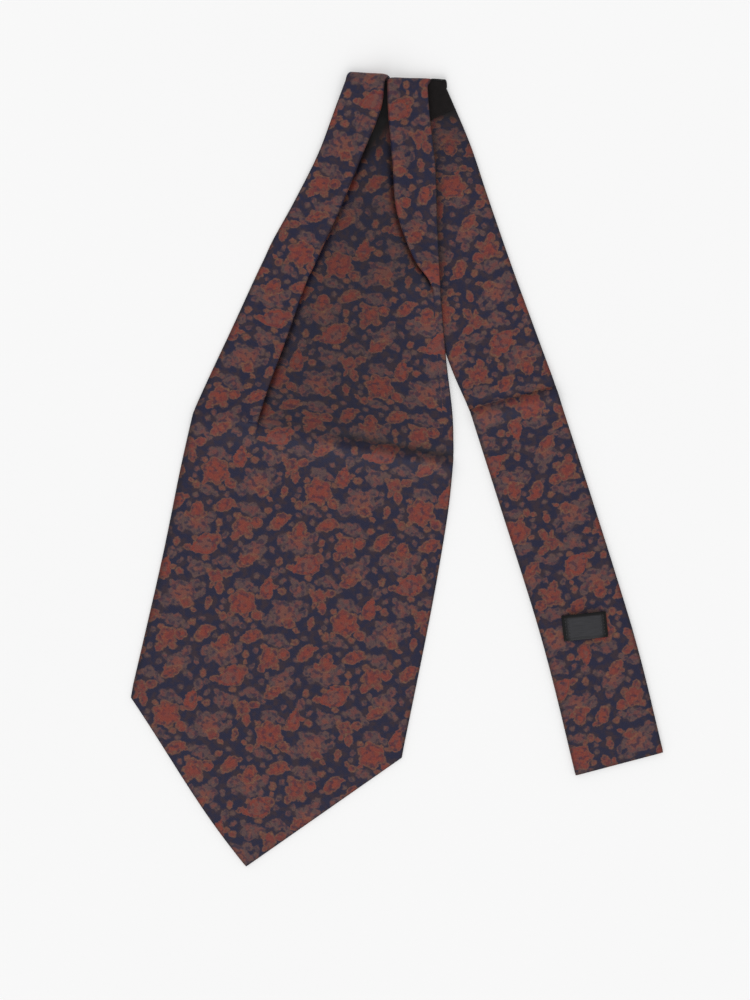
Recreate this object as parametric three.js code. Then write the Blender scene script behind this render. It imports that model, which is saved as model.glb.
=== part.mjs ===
import * as THREE from 'three';

// A silk cravat lying flat, folded once at the neck. The wide blade lies on top, with two
// pleats that open towards its pointed end, and the narrow tail runs out from under it.
// Millimetres, +Z up, with the origin on the surface under the middle of the outline.

const { smoothstep, lerp } = THREE.MathUtils;
const UP = new THREE.Vector3(0, 0, 1);

// Thicknesses and clearances of the cloth
const BLADE_WALL = 1.2;
const TAIL_WALL = 2.0;
const RIBBON_WALL = 1.0;
const PLY_GAP = 0.5;
const REST_GAP = 0.6;
const SEAM_GAP = 0.3;
const EDGE_ROUND = 0.45;

// A pleat is turned right under once its tuck is this deep
const FULL_TURN_TUCK = 4;
const PLY_RADIUS = (BLADE_WALL + PLY_GAP) / 2;

// Lengths over which the blade slopes down from its pleats, from the puffed folds and from the
// tail's edge
const PLEAT_SLOPE = 14;
const PUFF_SLOPE = 13;
const TAIL_SLOPE = 18;

// Least share of a panel's width on either side of the line where its slope begins
const LEAST_PANEL_SHARE = 0.1;

// The blade, a row for each section from the neck to just above the corners: the ends of the
// section, the width of the panel that shows on top at each side, the depth of the tuck under
// it, how far the fold is puffed up, where the middle panel's columns meet, the height of the
// storage crease, and how many steps lead on to the next row.
const BLADE_ROWS = [
  { leftX: -31.0, leftY: 238.7, rightX: 18.3, rightY: 234.4, leftPanel: 23.5, leftTuck: 14.5,
    rightPanel: 24.4, rightTuck: 15.2, puff: 2.2, middle: 20, crease: 0, steps: 3 },
  { leftX: -37.6, leftY: 221.5, rightX: 19.7, rightY: 215.9, leftPanel: 27.5, leftTuck: 14.5,
    rightPanel: 25.4, rightTuck: 16.4, puff: 2.6, middle: 27, crease: 0, steps: 3 },
  { leftX: -48.0, leftY: 193.7, rightX: 23.1, rightY: 185.4, leftPanel: 27.3, leftTuck: 13.0,
    rightPanel: 26.7, rightTuck: 18.6, puff: 1.9, middle: 40, crease: 0, steps: 3 },
  { leftX: -61.9, leftY: 166.0, rightX: 24.1, rightY: 154.9, leftPanel: 29.5, leftTuck: 12.0,
    rightPanel: 25.5, rightTuck: 19.0, puff: 1.2, middle: 48, crease: 0, steps: 3 },
  { leftX: -75.5, leftY: 141.4, rightX: 25.3, rightY: 127.8, leftPanel: 30.8, leftTuck: 10.0,
    rightPanel: 15.2, rightTuck: 10.0, puff: 0.8, middle: 60, crease: 0, steps: 4 },
  { leftX: -87.2, leftY: 116.7, rightX: 27.0, rightY: 100.4, leftPanel: 31.1, leftTuck: 8.0,
    rightPanel: 7, rightTuck: 3.2, puff: 0.5, middle: 72, crease: 0, steps: 5 },
  { leftX: -101.3, leftY: 85.9, rightX: 29.9, rightY: 66.2, leftPanel: 34.2, leftTuck: 5.5,
    rightPanel: 6, rightTuck: 0, puff: 0.3, middle: 80, crease: 0, steps: 3 },
  { leftX: -114.3, leftY: 58.2, rightX: 33.6, rightY: 34.8, leftPanel: 36.8, leftTuck: 2.5,
    rightPanel: 6.5, rightTuck: 0, puff: 0.15, middle: 84, crease: 0, steps: 3 },
  { leftX: -122.6, leftY: 39.9, rightX: 34.3, rightY: 13.3, leftPanel: 39.5, leftTuck: 0.6,
    rightPanel: 7, rightTuck: 0, puff: 0, middle: 86, crease: 0, steps: 1 },
  { leftX: -124.4, leftY: 35.4, rightX: 34.2, rightY: 8.3, leftPanel: 40, leftTuck: 0,
    rightPanel: 8, rightTuck: 0, puff: 0, middle: 87, crease: 0.9, steps: 1 },
  { leftX: -125.7, leftY: 31.0, rightX: 34.0, rightY: 3.3, leftPanel: 40, leftTuck: 0,
    rightPanel: 8, rightTuck: 0, puff: 0, middle: 87, crease: 0, steps: 2 },
  { leftX: -132.8, leftY: -0.3, rightX: 30.5, rightY: -29.3, leftPanel: 38, leftTuck: 0,
    rightPanel: 10, rightTuck: 0, puff: 0, middle: 89, crease: 0, steps: 2 },
  { leftX: -144.1, leftY: -55.7, rightX: 20.3, rightY: -88.4, leftPanel: 36, leftTuck: 0,
    rightPanel: 12, rightTuck: 0, puff: 0, middle: 90, crease: 0, steps: 3 },
  { leftX: -161.8, leftY: -132.7, rightX: 3.9, rightY: -169.7, leftPanel: 34, leftTuck: 0,
    rightPanel: 14, rightTuck: 0, puff: 0, middle: 91.4, crease: 0, steps: 0 },
];
const LAST_BLADE_ROW = BLADE_ROWS.length - 1;
const LEFT_PLEAT_END = BLADE_ROWS.findIndex((row) => row.leftTuck === 0);
const RIGHT_PLEAT_END = BLADE_ROWS.findIndex((row) => row.rightTuck === 0);

// The crease across the blade starts this far in from the left edge and is full after the next
const CREASE_START = 45;
const CREASE_FULL = 95;

// Columns of the blade's wall in each stretch of a section, and the least step along a fold:
// small where it is pleated, wide where it lies flat
const PANEL_COLUMNS = 4;
const FOLD_COLUMNS = 4;
const TUCK_COLUMNS = 4;
const MIDDLE_COLUMNS = 6;
const PLEATED_STEP = 0.6;
const FLAT_STEP = 6;

// The pointed end
const LEFT_CORNER = new THREE.Vector2(-163.1, -140.1);
const POINT = new THREE.Vector2(-92.7, -243.6);
const RIGHT_CORNER = new THREE.Vector2(2.6, -176.9);
const POINT_ROWS = 6;

// The left edge of the point bows out by this much, most of all towards the point
const LEFT_BOW = 1.9;
const BOW_TOWARDS_POINT = 1.6;

// The tail, a row for each section from the neck fold to the square end
const TAIL_ROWS = [
  { leftX: -26.2, leftY: 238.1, rightX: 30.4, rightY: 233.2, crease: 0, steps: 2 },
  { leftX: -9.8, leftY: 190.5, rightX: 44.6, rightY: 199.5, crease: 0, steps: 2 },
  { leftX: 2.3, leftY: 155.0, rightX: 55.0, rightY: 168.5, crease: 0, steps: 2 },
  { leftX: 17.5, leftY: 110.0, rightX: 69.3, rightY: 127.0, crease: 0, steps: 2 },
  { leftX: 32.3, leftY: 66.2, rightX: 85.0, rightY: 84.0, crease: 0, steps: 2 },
  { leftX: 42.8, leftY: 41.5, rightX: 95.3, rightY: 56.0, crease: 0, steps: 1 },
  { leftX: 44.9, leftY: 36.5, rightX: 97.0, rightY: 51.0, crease: 0.8, steps: 1 },
  { leftX: 46.6, leftY: 31.5, rightX: 98.7, rightY: 46.0, crease: 0, steps: 2 },
  { leftX: 63.8, leftY: -22.5, rightX: 115.8, rightY: -7.0, crease: 0, steps: 2 },
  { leftX: 84.1, leftY: -86.5, rightX: 136.3, rightY: -72.0, crease: 0, steps: 2 },
  { leftX: 96.4, leftY: -130.9, rightX: 149.4, rightY: -117.0, crease: 0, steps: 2 },
  { leftX: 110.1, leftY: -187.6, rightX: 163.1, rightY: -173.6, crease: 0, steps: 0 },
];
const TAIL_COLUMNS = 8;
const STRAIGHT_TAIL_ROWS = 4;

// The neck band, a row for each place along the fold: where it leaves the tail and where it
// meets the blade, how far it bulges past the fold line, its share of the roll's full height,
// and how far round it goes. Left panel, slit between the panels, right panel, open lip.
const NECK_ROWS = [
  { under: 0, over: 0, bulge: 4.6, height: 0.56, wrap: 180, steps: 2 },
  { under: 8.0, over: 8.4, bulge: 4.7, height: 0.6, wrap: 180, steps: 2 },
  { under: 14.5, over: 15.2, bulge: 4.8, height: 0.85, wrap: 180, steps: 2 },
  { under: 19.6, over: 20.4, bulge: 4.8, height: 1, wrap: 180, steps: 1 },
  { under: 21.8, over: 22.8, bulge: 4.3, height: 0.9, wrap: 180, steps: 1 },
  { under: 23.3, over: 24.3, bulge: 2.6, height: 0.5, wrap: 180, steps: 1 },
  { under: 24.8, over: 25.8, bulge: 2.9, height: 0.88, wrap: 180, steps: 1 },
  { under: 27.5, over: 28.6, bulge: 3.2, height: 1, wrap: 180, steps: 2 },
  { under: 33.0, over: 34.6, bulge: 3.6, height: 0.86, wrap: 180, steps: 2 },
  { under: 39.5, over: 41.6, bulge: 4.2, height: 0.6, wrap: 180, steps: 2 },
  { under: 46.5, over: 49.3, bulge: 4.6, height: 0.57, wrap: 180, steps: 1 },
  { under: 48.0, over: 50.6, bulge: 4.8, height: 0.56, wrap: 100, steps: 3 },
  { under: 56.6, over: 59.0, bulge: 4.9, height: 0.5, wrap: 96, steps: 0 },
];
const NECK_ARC_STEPS = 10;

// The keeper loop: its place along the tail in rows of the table, how many degrees it is sewn
// off square, its size, its clearance over the tail at the middle, and the length of the sloping
// part at each end
const KEEPER_AT = 9.38;
const KEEPER_OFF_SQUARE = 10.5;
const KEEPER_LENGTH = 26.5;
const KEEPER_WIDTH = 15;
const KEEPER_CLEARANCE = 2.2;
const KEEPER_SLOPE = 5;
const KEEPER_COLUMNS = 14;
const KEEPER_ROWS = 2;

// The lining patch beside the right end of the fold, in rows along the tail and shares across
const LINING_START = 0.06;
const LINING_END = 0.5;
const LINING_LEFT_AT_FOLD = 0.76;
const LINING_LEFT_AT_END = 0.655;
const LINING_RIGHT = 0.985;
const LINING_STEPS = 4;

const PRINTED_SILK = { color: 0x4a393d, roughness: 0.62, metalness: 0 };
const BLACK_SATIN = { color: 0x1b1a1e, roughness: 0.4, metalness: 0 };
const DARK_LINING = { color: 0x211c1c, roughness: 0.75, metalness: 0 };

// Every column of a table as a smooth curve through its rows
function smoothTable(rows) {
  const names = Object.keys(rows[0]);
  const positions = rows.map((row, index) => index);
  const values = rows.flatMap((row) => names.map((name) => row[name]));
  const curve = new THREE.CubicInterpolant(positions, values, names.length);
  return (at) => {
    const result = curve.evaluate(at);
    return Object.fromEntries(names.map((name, index) => [name, result[index]]));
  };
}

// The places along a table that its rows and their steps give
function places(rows) {
  const list = rows.flatMap((row, index) =>
    Array.from({ length: row.steps }, (_, step) => index + step / row.steps));
  return [...list, rows.length - 1];
}

// Evenly spaced numbers from one value up to, but not including, another
function span(from, to, count) {
  return Array.from({ length: count }, (_, step) => lerp(from, to, step / count));
}

const bladeAt = smoothTable(BLADE_ROWS);
const tailAt = smoothTable(TAIL_ROWS);
const neckAt = smoothTable(NECK_ROWS);

function leftEnd(row) {
  return new THREE.Vector2(row.leftX, row.leftY);
}

function rightEnd(row) {
  return new THREE.Vector2(row.rightX, row.rightY);
}

// A closed wall round a grid of middle points, each with its normal and half thickness.
// A loop of points at mid thickness rounds the edge all the way round.
function clothWall(grid) {
  const rowCount = grid.length;
  const columnCount = grid[0].length;
  const points = [];
  const triangles = [];
  const faceIndex = (row, column, under) => 2 * (row * columnCount + column) + under;
  const quad = (a, b, c, d) => triangles.push(a, b, c, a, c, d);
  for (const line of grid) {
    for (const { middle, normal, half } of line) {
      points.push(middle.clone().addScaledVector(normal, half));
      points.push(middle.clone().addScaledVector(normal, -half));
    }
  }
  for (let row = 0; row + 1 < rowCount; row += 1) {
    for (let column = 0; column + 1 < columnCount; column += 1) {
      const corners = [[row, column], [row + 1, column], [row + 1, column + 1], [row, column + 1]];
      quad(...corners.map(([r, c]) => faceIndex(r, c, 0)));
      quad(...corners.map(([r, c]) => faceIndex(r, c, 1)).reverse());
    }
  }
  const lastRow = rowCount - 1;
  const lastColumn = columnCount - 1;
  const loop = [
    ...span(0, lastRow, lastRow).map((row) => [Math.round(row), 0]),
    ...span(0, lastColumn, lastColumn).map((column) => [lastRow, Math.round(column)]),
    ...span(lastRow, 0, lastRow).map((row) => [Math.round(row), lastColumn]),
    ...span(lastColumn, 0, lastColumn).map((column) => [0, Math.round(column)]),
  ];
  const firstNose = points.length;
  for (const [row, column] of loop) {
    const inner = grid[Math.min(Math.max(row, 1), lastRow - 1)];
    const innerColumn = Math.min(Math.max(column, 1), lastColumn - 1);
    const here = grid[row][column].middle;
    const across = here.clone().sub(grid[row][innerColumn].middle).normalize();
    const along = here.clone().sub(inner[column].middle).normalize();
    const out = across.add(along).normalize();
    points.push(here.clone().addScaledVector(out, EDGE_ROUND));
  }
  loop.forEach(([row, column], index) => {
    const next = (index + 1) % loop.length;
    const [nextRow, nextColumn] = loop[next];
    const nose = firstNose + index;
    const nextNose = firstNose + next;
    quad(faceIndex(row, column, 0), nose, nextNose, faceIndex(nextRow, nextColumn, 0));
    quad(nose, faceIndex(row, column, 1), faceIndex(nextRow, nextColumn, 1), nextNose);
  });
  const geometry = new THREE.BufferGeometry().setFromPoints(points);
  geometry.setIndex(triangles);
  geometry.computeVertexNormals();
  return geometry;
}

// How high the tail under the blade lifts it: full over the tail, sloping off beside its left edge
function riseOverTail(x, y) {
  const top = leftEnd(TAIL_ROWS[0]);
  const run = leftEnd(TAIL_ROWS[STRAIGHT_TAIL_ROWS]).sub(top).normalize();
  const inside = (y - top.y) * run.x - (x - top.x) * run.y;
  return (TAIL_WALL + REST_GAP) * smoothstep(inside, -TAIL_SLOPE, 0);
}

// A pleat in section, from the panel's flat part, round the fold, back along the tuck and round
// again to the layer below: how far along and how far down each point is, and how much of the
// whole depth is the puff of the fold
function pleat(tuck, puff, leastStep) {
  const depth = Math.max(tuck, 0);
  const turn = Math.PI * smoothstep(depth, 0, FULL_TURN_TUCK);
  const upperRadius = PLY_RADIUS + puff;
  const pieces = [
    { length: Math.max(upperRadius * turn, leastStep), from: 0, to: turn, count: FOLD_COLUMNS },
    { length: Math.max(depth, leastStep), from: turn, to: turn, count: TUCK_COLUMNS },
    { length: Math.max(PLY_RADIUS * turn, leastStep), from: turn, to: 0, count: FOLD_COLUMNS },
  ];
  const points = [];
  let along = 0;
  let down = 0;
  for (const { length, from, to, count } of pieces) {
    for (let step = 0; step < count; step += 1) {
      points.push({ along, down });
      const heading = lerp(from, to, (step + 0.5) / count);
      along += (length / count) * Math.cos(heading);
      down += (length / count) * Math.sin(heading);
    }
  }
  const bulge = (upperRadius + BLADE_WALL / 2) * Math.sin(Math.min(turn, Math.PI / 2));
  return { points, along, down, bulge, puffed: puff * (1 - Math.cos(turn)) };
}

// One section of the blade from its left edge to its right edge, as distance along and lift
function bladePath(at, width, row) {
  const leftStep = lerp(PLEATED_STEP, FLAT_STEP, smoothstep(at, LEFT_PLEAT_END, LAST_BLADE_ROW));
  const rightStep = lerp(PLEATED_STEP, FLAT_STEP, smoothstep(at, RIGHT_PLEAT_END, LAST_BLADE_ROW));
  const leftPleat = pleat(row.leftTuck, row.puff, leftStep);
  const rightPleat = pleat(row.rightTuck, row.puff, rightStep);
  const leftFold = row.leftPanel - leftPleat.bulge;
  const rightFold = width - row.rightPanel + rightPleat.bulge;
  const middleLeft = leftFold + leftPleat.along;
  const middleRight = rightFold - rightPleat.along;
  const clearOfTuck = PLY_RADIUS + BLADE_WALL / 2 + PLY_GAP;
  const leftCrest = Math.min(lerp(leftFold, 0, LEAST_PANEL_SHARE), middleLeft - clearOfTuck);
  const rightCrest = Math.max(lerp(rightFold, width, LEAST_PANEL_SHARE), middleRight + clearOfTuck);
  const leftBreak = Math.max(leftCrest, lerp(0, leftFold, LEAST_PANEL_SHARE));
  const rightBreak = Math.min(rightCrest, lerp(width, rightFold, LEAST_PANEL_SHARE));
  const leftPanel = (along) => ({
    along,
    lift: (leftPleat.down - leftPleat.puffed) * smoothstep(along, leftCrest - PLEAT_SLOPE, leftCrest)
      + leftPleat.puffed * smoothstep(along, leftFold - PUFF_SLOPE, leftFold),
  });
  const rightPanel = (along) => ({
    along,
    lift: (rightPleat.down - rightPleat.puffed)
      * (1 - smoothstep(along, rightCrest, rightCrest + PLEAT_SLOPE))
      + rightPleat.puffed * (1 - smoothstep(along, rightFold, rightFold + PUFF_SLOPE)),
  });
  const middlePanel = (along) => ({ along, lift: 0 });
  const leftTurn = leftPleat.points.map(({ along, down }) =>
    ({ along: leftFold + along, lift: leftPleat.down - down }));
  const rightTurn = rightPleat.points.map(({ along, down }) =>
    ({ along: rightFold - along, lift: rightPleat.down - down }));
  return [
    ...span(0, leftBreak, PANEL_COLUMNS).map(leftPanel),
    ...span(leftBreak, leftFold, PANEL_COLUMNS).map(leftPanel),
    ...leftTurn,
    ...span(middleLeft, row.middle, MIDDLE_COLUMNS).map(middlePanel),
    ...span(row.middle, middleRight, MIDDLE_COLUMNS).map(middlePanel),
    middlePanel(middleRight),
    ...rightTurn.reverse(),
    ...span(rightFold, rightBreak, PANEL_COLUMNS).slice(1).map(rightPanel),
    ...span(rightBreak, width, PANEL_COLUMNS).map(rightPanel),
    rightPanel(width),
  ];
}

// The section's middle points in place, resting on the surface or on the tail
function bladeSection(at) {
  const row = bladeAt(at);
  const left = leftEnd(row);
  const width = left.distanceTo(rightEnd(row));
  const run = rightEnd(row).sub(left).divideScalar(width);
  const path = bladePath(at, width, row).map(({ along, lift }) => {
    const x = left.x + run.x * along;
    const y = left.y + run.y * along;
    const crease = Math.max(row.crease, 0) * smoothstep(along, CREASE_START, CREASE_FULL);
    return { along, x, y, z: BLADE_WALL / 2 + riseOverTail(x, y) + lift + crease };
  });
  return path.map((point, index) => {
    const before = path[Math.max(index - 1, 0)];
    const after = path[Math.min(index + 1, path.length - 1)];
    const ahead = new THREE.Vector2(after.along - before.along, after.z - before.z).normalize();
    return {
      middle: new THREE.Vector3(point.x, point.y, point.z),
      normal: new THREE.Vector3(-ahead.y * run.x, -ahead.y * run.y, ahead.x),
      half: BLADE_WALL / 2,
      share: point.along / width,
    };
  });
}

// The place on the two edges of the point that a share of the blade's width runs down to
function pointEdge(share, pointShare) {
  if (share >= pointShare) {
    return POINT.clone().lerp(RIGHT_CORNER, (share - pointShare) / (1 - pointShare));
  }
  const down = share / pointShare;
  const run = POINT.clone().sub(LEFT_CORNER).normalize();
  const bow = LEFT_BOW * Math.sin(Math.PI * down ** BOW_TOWARDS_POINT);
  const outward = new THREE.Vector2(run.y, -run.x);
  return LEFT_CORNER.clone().lerp(POINT, down).addScaledVector(outward, bow);
}

function frontBlade() {
  const sections = places(BLADE_ROWS).map(bladeSection);
  const last = sections[sections.length - 1];
  const lastRow = BLADE_ROWS[LAST_BLADE_ROW];
  const pointShare = lastRow.middle / leftEnd(lastRow).distanceTo(rightEnd(lastRow));
  for (let row = 1; row <= POINT_ROWS; row += 1) {
    sections.push(last.map(({ middle, half, share }) => {
      const edge = pointEdge(share, pointShare);
      const target = new THREE.Vector3(edge.x, edge.y, middle.z);
      return { middle: middle.clone().lerp(target, row / POINT_ROWS), normal: UP, half };
    }));
  }
  return clothWall(sections);
}

// A point of the tail, by its place in the table and its share across. The crease thickens it
// upwards, so that it stays flat underneath.
function tailPoint(at, share) {
  const row = tailAt(at);
  const place = leftEnd(row).lerp(rightEnd(row), share);
  const half = (TAIL_WALL + Math.max(row.crease, 0)) / 2;
  return { middle: new THREE.Vector3(place.x, place.y, half), normal: UP, half };
}

function tailStrip() {
  const shares = [...span(0, 1, TAIL_COLUMNS), 1];
  return clothWall(places(TAIL_ROWS).map((at) => shares.map((share) => tailPoint(at, share))));
}

// A point that lies on the tail, its middle a given height above the tail's upper face
function onTail(at, share, height) {
  const { middle, normal, half } = tailPoint(at, share);
  return { middle: middle.addScaledVector(normal, half + height), normal, half: RIBBON_WALL / 2 };
}

function keeperLoop() {
  const centre = onTail(KEEPER_AT, 0.5, 0).middle;
  const across = onTail(KEEPER_AT, 1, 0).middle.sub(onTail(KEEPER_AT, 0, 0).middle).normalize()
    .applyAxisAngle(UP, -THREE.MathUtils.degToRad(KEEPER_OFF_SQUARE));
  const along = new THREE.Vector3(across.y, -across.x, 0);
  const low = SEAM_GAP + RIBBON_WALL / 2;
  const grid = [...span(-0.5, 0.5, KEEPER_ROWS), 0.5].map((rowShare) =>
    [...span(-0.5, 0.5, KEEPER_COLUMNS), 0.5].map((share) => {
      const fromEnd = (0.5 - Math.abs(share)) * KEEPER_LENGTH;
      const arch = KEEPER_CLEARANCE * smoothstep(fromEnd, 0, KEEPER_SLOPE);
      const middle = centre.clone()
        .addScaledVector(across, share * KEEPER_LENGTH)
        .addScaledVector(along, rowShare * KEEPER_WIDTH);
      middle.z += low + arch;
      return { middle, normal: UP, half: RIBBON_WALL / 2 };
    }));
  return clothWall(grid);
}

function neckLining() {
  const height = SEAM_GAP + RIBBON_WALL / 2;
  const steps = [...span(0, 1, LINING_STEPS), 1];
  return clothWall(steps.map((down) => {
    const at = lerp(LINING_START, LINING_END, down);
    const left = lerp(LINING_LEFT_AT_FOLD, LINING_LEFT_AT_END, down);
    return steps.map((share) => onTail(at, lerp(left, LINING_RIGHT, share), height));
  }));
}

// The neck band rolls from the end of the blade over the fold and down to the end of the tail
function neckBand() {
  const bladeRow = BLADE_ROWS[0];
  const tailRow = TAIL_ROWS[0];
  const overLeft = leftEnd(bladeRow);
  const underLeft = leftEnd(tailRow);
  const overRun = rightEnd(bladeRow).sub(overLeft).normalize();
  const underRun = rightEnd(tailRow).sub(underLeft).normalize();
  const past = new THREE.Vector2(-underRun.y, underRun.x);
  const seam = 2 * EDGE_ROUND + PLY_GAP;
  const bladeTop = BLADE_WALL / 2 + riseOverTail(overLeft.x, overLeft.y)
    + pleat(bladeRow.leftTuck, bladeRow.puff, PLEATED_STEP).down;
  const fullRadius = (bladeTop - BLADE_WALL / 2) / 2;
  const columns = places(NECK_ROWS).map(neckAt);
  const grid = columns.map(({ under, over, bulge, height, wrap }) => {
    const low = underLeft.clone().addScaledVector(underRun, under).addScaledVector(past, seam);
    const high = overLeft.clone().addScaledVector(overRun, over).addScaledVector(past, seam);
    const radius = fullRadius * height;
    return [...span(1, 0, NECK_ARC_STEPS), 0].map((share) => {
      const angle = THREE.MathUtils.degToRad(wrap) * share;
      const rise = (1 - Math.cos(angle)) / 2;
      const place = low.clone().lerp(high, rise).addScaledVector(past, bulge * Math.sin(angle));
      const outward = new THREE.Vector2(radius * Math.sin(angle), -bulge * Math.cos(angle)).normalize();
      return {
        middle: new THREE.Vector3(place.x, place.y, BLADE_WALL / 2 + 2 * radius * rise),
        normal: new THREE.Vector3(past.x * outward.x, past.y * outward.x, outward.y),
        half: BLADE_WALL / 2,
      };
    });
  });
  return clothWall(grid);
}

function piece(name, geometry, look) {
  const mesh = new THREE.Mesh(geometry, new THREE.MeshStandardMaterial(look));
  mesh.name = name;
  return mesh;
}

const cravat = new THREE.Group();
cravat.add(
  piece('front_blade', frontBlade(), PRINTED_SILK),
  piece('neck_band', neckBand(), PRINTED_SILK),
  piece('tail_strip', tailStrip(), PRINTED_SILK),
  piece('keeper_loop', keeperLoop(), BLACK_SATIN),
  piece('neck_lining', neckLining(), DARK_LINING),
);

export default cravat;
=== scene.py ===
"""Printed silk cravat lying flat, folded at the neck, with its keeper loop, on a pale floor."""

import math

import bpy
import numpy as np
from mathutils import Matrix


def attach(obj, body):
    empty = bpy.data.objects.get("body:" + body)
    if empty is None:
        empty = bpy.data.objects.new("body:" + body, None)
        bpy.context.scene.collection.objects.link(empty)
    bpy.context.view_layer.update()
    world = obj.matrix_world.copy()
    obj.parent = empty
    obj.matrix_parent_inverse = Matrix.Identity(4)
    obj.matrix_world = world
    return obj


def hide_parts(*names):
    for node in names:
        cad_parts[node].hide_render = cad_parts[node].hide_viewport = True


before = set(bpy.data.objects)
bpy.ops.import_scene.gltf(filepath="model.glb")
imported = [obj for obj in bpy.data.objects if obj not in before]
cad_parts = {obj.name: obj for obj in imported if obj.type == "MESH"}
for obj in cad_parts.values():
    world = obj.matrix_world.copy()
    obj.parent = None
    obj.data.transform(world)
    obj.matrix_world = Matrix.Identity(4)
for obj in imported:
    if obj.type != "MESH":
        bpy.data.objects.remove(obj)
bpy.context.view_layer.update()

bl_info = {
    "name": "Silk Cravat",
    "version": (1, 0, 0),
    "blender": (4, 5, 0),
    "location": "View3D > Sidebar > Cravat",
    "description": "Builds a printed silk cravat that lies folded at the neck",
    "category": "Object",
}

# One millimetre in metres. The tables below are in millimetres, in the frame's own axes.
MM = 0.001

# The blade, a row for each section from the neck to just above the corners: the section's two
# ends, the left panel and its tuck, the right panel and its tuck, the puff of the folds, and
# where the two halves of the middle panel meet
BLADE_ROWS = np.array([
    (-31.0, 238.7, 18.3, 234.4, 23.5, 14.5, 24.4, 15.2, 2.2, 20.0),
    (-37.6, 221.5, 19.7, 215.9, 27.5, 14.5, 25.4, 16.4, 2.6, 27.0),
    (-48.0, 193.7, 23.1, 185.4, 26.2, 13.0, 26.2, 18.6, 2.5, 40.0),
    (-61.9, 166.0, 24.1, 154.9, 28.6, 12.0, 24.6, 19.0, 2.2, 48.0),
    (-75.5, 141.4, 25.3, 127.8, 30.8, 10.0, 15.6, 11.0, 1.9, 60.0),
    (-81.3, 129.1, 26.0, 114.2, 30.9, 9.0, 6.0, 2.4, 1.6, 66.0),
    (-87.2, 116.7, 27.0, 100.4, 31.1, 8.0, 3.4, 0.2, 1.4, 72.0),
    (-101.3, 85.9, 29.9, 66.2, 34.2, 6.5, 3.8, 0.0, 1.3, 80.0),
    (-114.3, 58.2, 33.6, 34.8, 36.8, 5.0, 4.5, 0.0, 1.2, 84.0),
    (-122.6, 39.9, 34.3, 13.3, 39.0, 2.6, 6.0, 0.0, 0.8, 86.0),
    (-124.4, 35.4, 34.2, 8.3, 39.6, 1.1, 7.0, 0.0, 0.4, 87.0),
    (-125.7, 31.0, 34.0, 3.3, 40.0, 0.5, 8.0, 0.0, 0.1, 87.0),
    (-132.8, -0.3, 30.5, -29.3, 38.0, 0.0, 10.0, 0.0, 0.0, 89.0),
    (-144.1, -55.7, 20.3, -88.4, 36.0, 0.0, 12.0, 0.0, 0.0, 90.0),
    (-161.8, -132.7, 3.9, -169.7, 34.0, 0.0, 14.0, 0.0, 0.0, 91.4),
])
# Rows at which the pleats have died out
LEFT_PLEAT_END, RIGHT_PLEAT_END = 12, 7
LEFT_CORNER = np.array((-163.1, -140.1))
POINT = np.array((-92.7, -243.6))
RIGHT_CORNER = np.array((2.6, -176.9))
# The left edge of the point bows out by this much, most of all towards the point
LEFT_BOW, BOW_TOWARDS_POINT = 1.9, 1.6

# The tail, a row for each section from the neck fold to the square end: its two ends
TAIL_ROWS = np.array([
    (-26.2, 238.1, 30.4, 233.2),
    (-9.8, 190.5, 44.6, 199.5),
    (2.3, 155.0, 55.0, 168.5),
    (17.5, 110.0, 69.3, 127.0),
    (32.3, 66.2, 85.0, 84.0),
    (42.8, 41.5, 95.3, 56.0),
    (44.9, 36.5, 97.0, 51.0),
    (46.6, 31.5, 98.7, 46.0),
    (63.8, -22.5, 115.8, -7.0),
    (84.1, -86.5, 136.3, -72.0),
    (96.4, -130.9, 149.4, -117.0),
    (110.1, -187.6, 163.1, -173.6),
])
# Its left edge runs straight down to this row
STRAIGHT_TAIL_ROWS = 4

# The neck roll, a row for each place along the fold: where it meets the blade, where it leaves
# the tail, how far it bulges past the fold, and how many degrees round it goes
NECK_ROWS = np.array([
    (0.0, 0.0, 4.6, 180),
    (15.2, 14.5, 4.8, 180),
    (20.4, 19.6, 4.8, 180),
    (22.8, 21.8, 4.3, 180),
    (24.3, 23.3, 2.6, 180),
    (28.6, 27.5, 3.2, 180),
    (34.6, 33.0, 3.6, 180),
    (41.6, 39.5, 4.2, 180),
    (49.3, 46.5, 4.6, 180),
    (50.6, 48.0, 4.8, 100),
    (59.0, 56.6, 4.9, 96),
])
# Columns of the open lip at its right end, the lip's height, and the steps round the roll
LIP_COLUMNS, LIP_HEIGHT, ROLL_STEPS = 7, 5.4, 18
# Turn of the cloth's grain where the left and the right panel go over the fold
LEFT_ROLL_TURN, RIGHT_ROLL_TURN = 22.0, -7.0
# Plies inside the roll: degrees short of the tail where they stop, their share of the roll's bulge,
# and how deep they go
INNER_STOP, INNER_BULGE, INNER_DEPTH = 80.0, 0.45, 2.0

# A pleat is turned right under once its tuck is this deep, and the right one's fold loses its puff
# below this depth
FULL_TURN_TUCK, RIGHT_PUFF_TUCK = 1.8, 9.0
# The cloth slopes down from the pleats, from their puffed folds and from the tail's edge over these
# lengths
PLEAT_SLOPE, PUFF_SLOPE, TAIL_SLOPE = 14.0, 13.0, 18.0
# How tightly a pleat's upper fold turns at its top edge, 1 being half a circle
FOLD_SHARPNESS = 2.2
# The middle panel swells up by this much where the pleats lie this far apart, down to this row of
# the table; it drops again this near a pleat, and more slowly where there is none
CROWN, CROWN_FROM, CROWN_TO, CROWN_FULL_ROW = 1.7, 10.0, 24.0, 7.0
CROWN_SLOPE, CROWN_FADE = 2.2, 40.0
# Distances from the neck at which the middle panel and the tail go into the near-black painted
# shade of the neck fold; the panel comes out of it sooner away from the left pleat, by this much of
# its distance from it
PANEL_FOLD_SHADE, PANEL_SHADE_SLANT = (80.0, 40.0), 3.0
TAIL_FOLD_SHADE = (30.0, 18.0)
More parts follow.
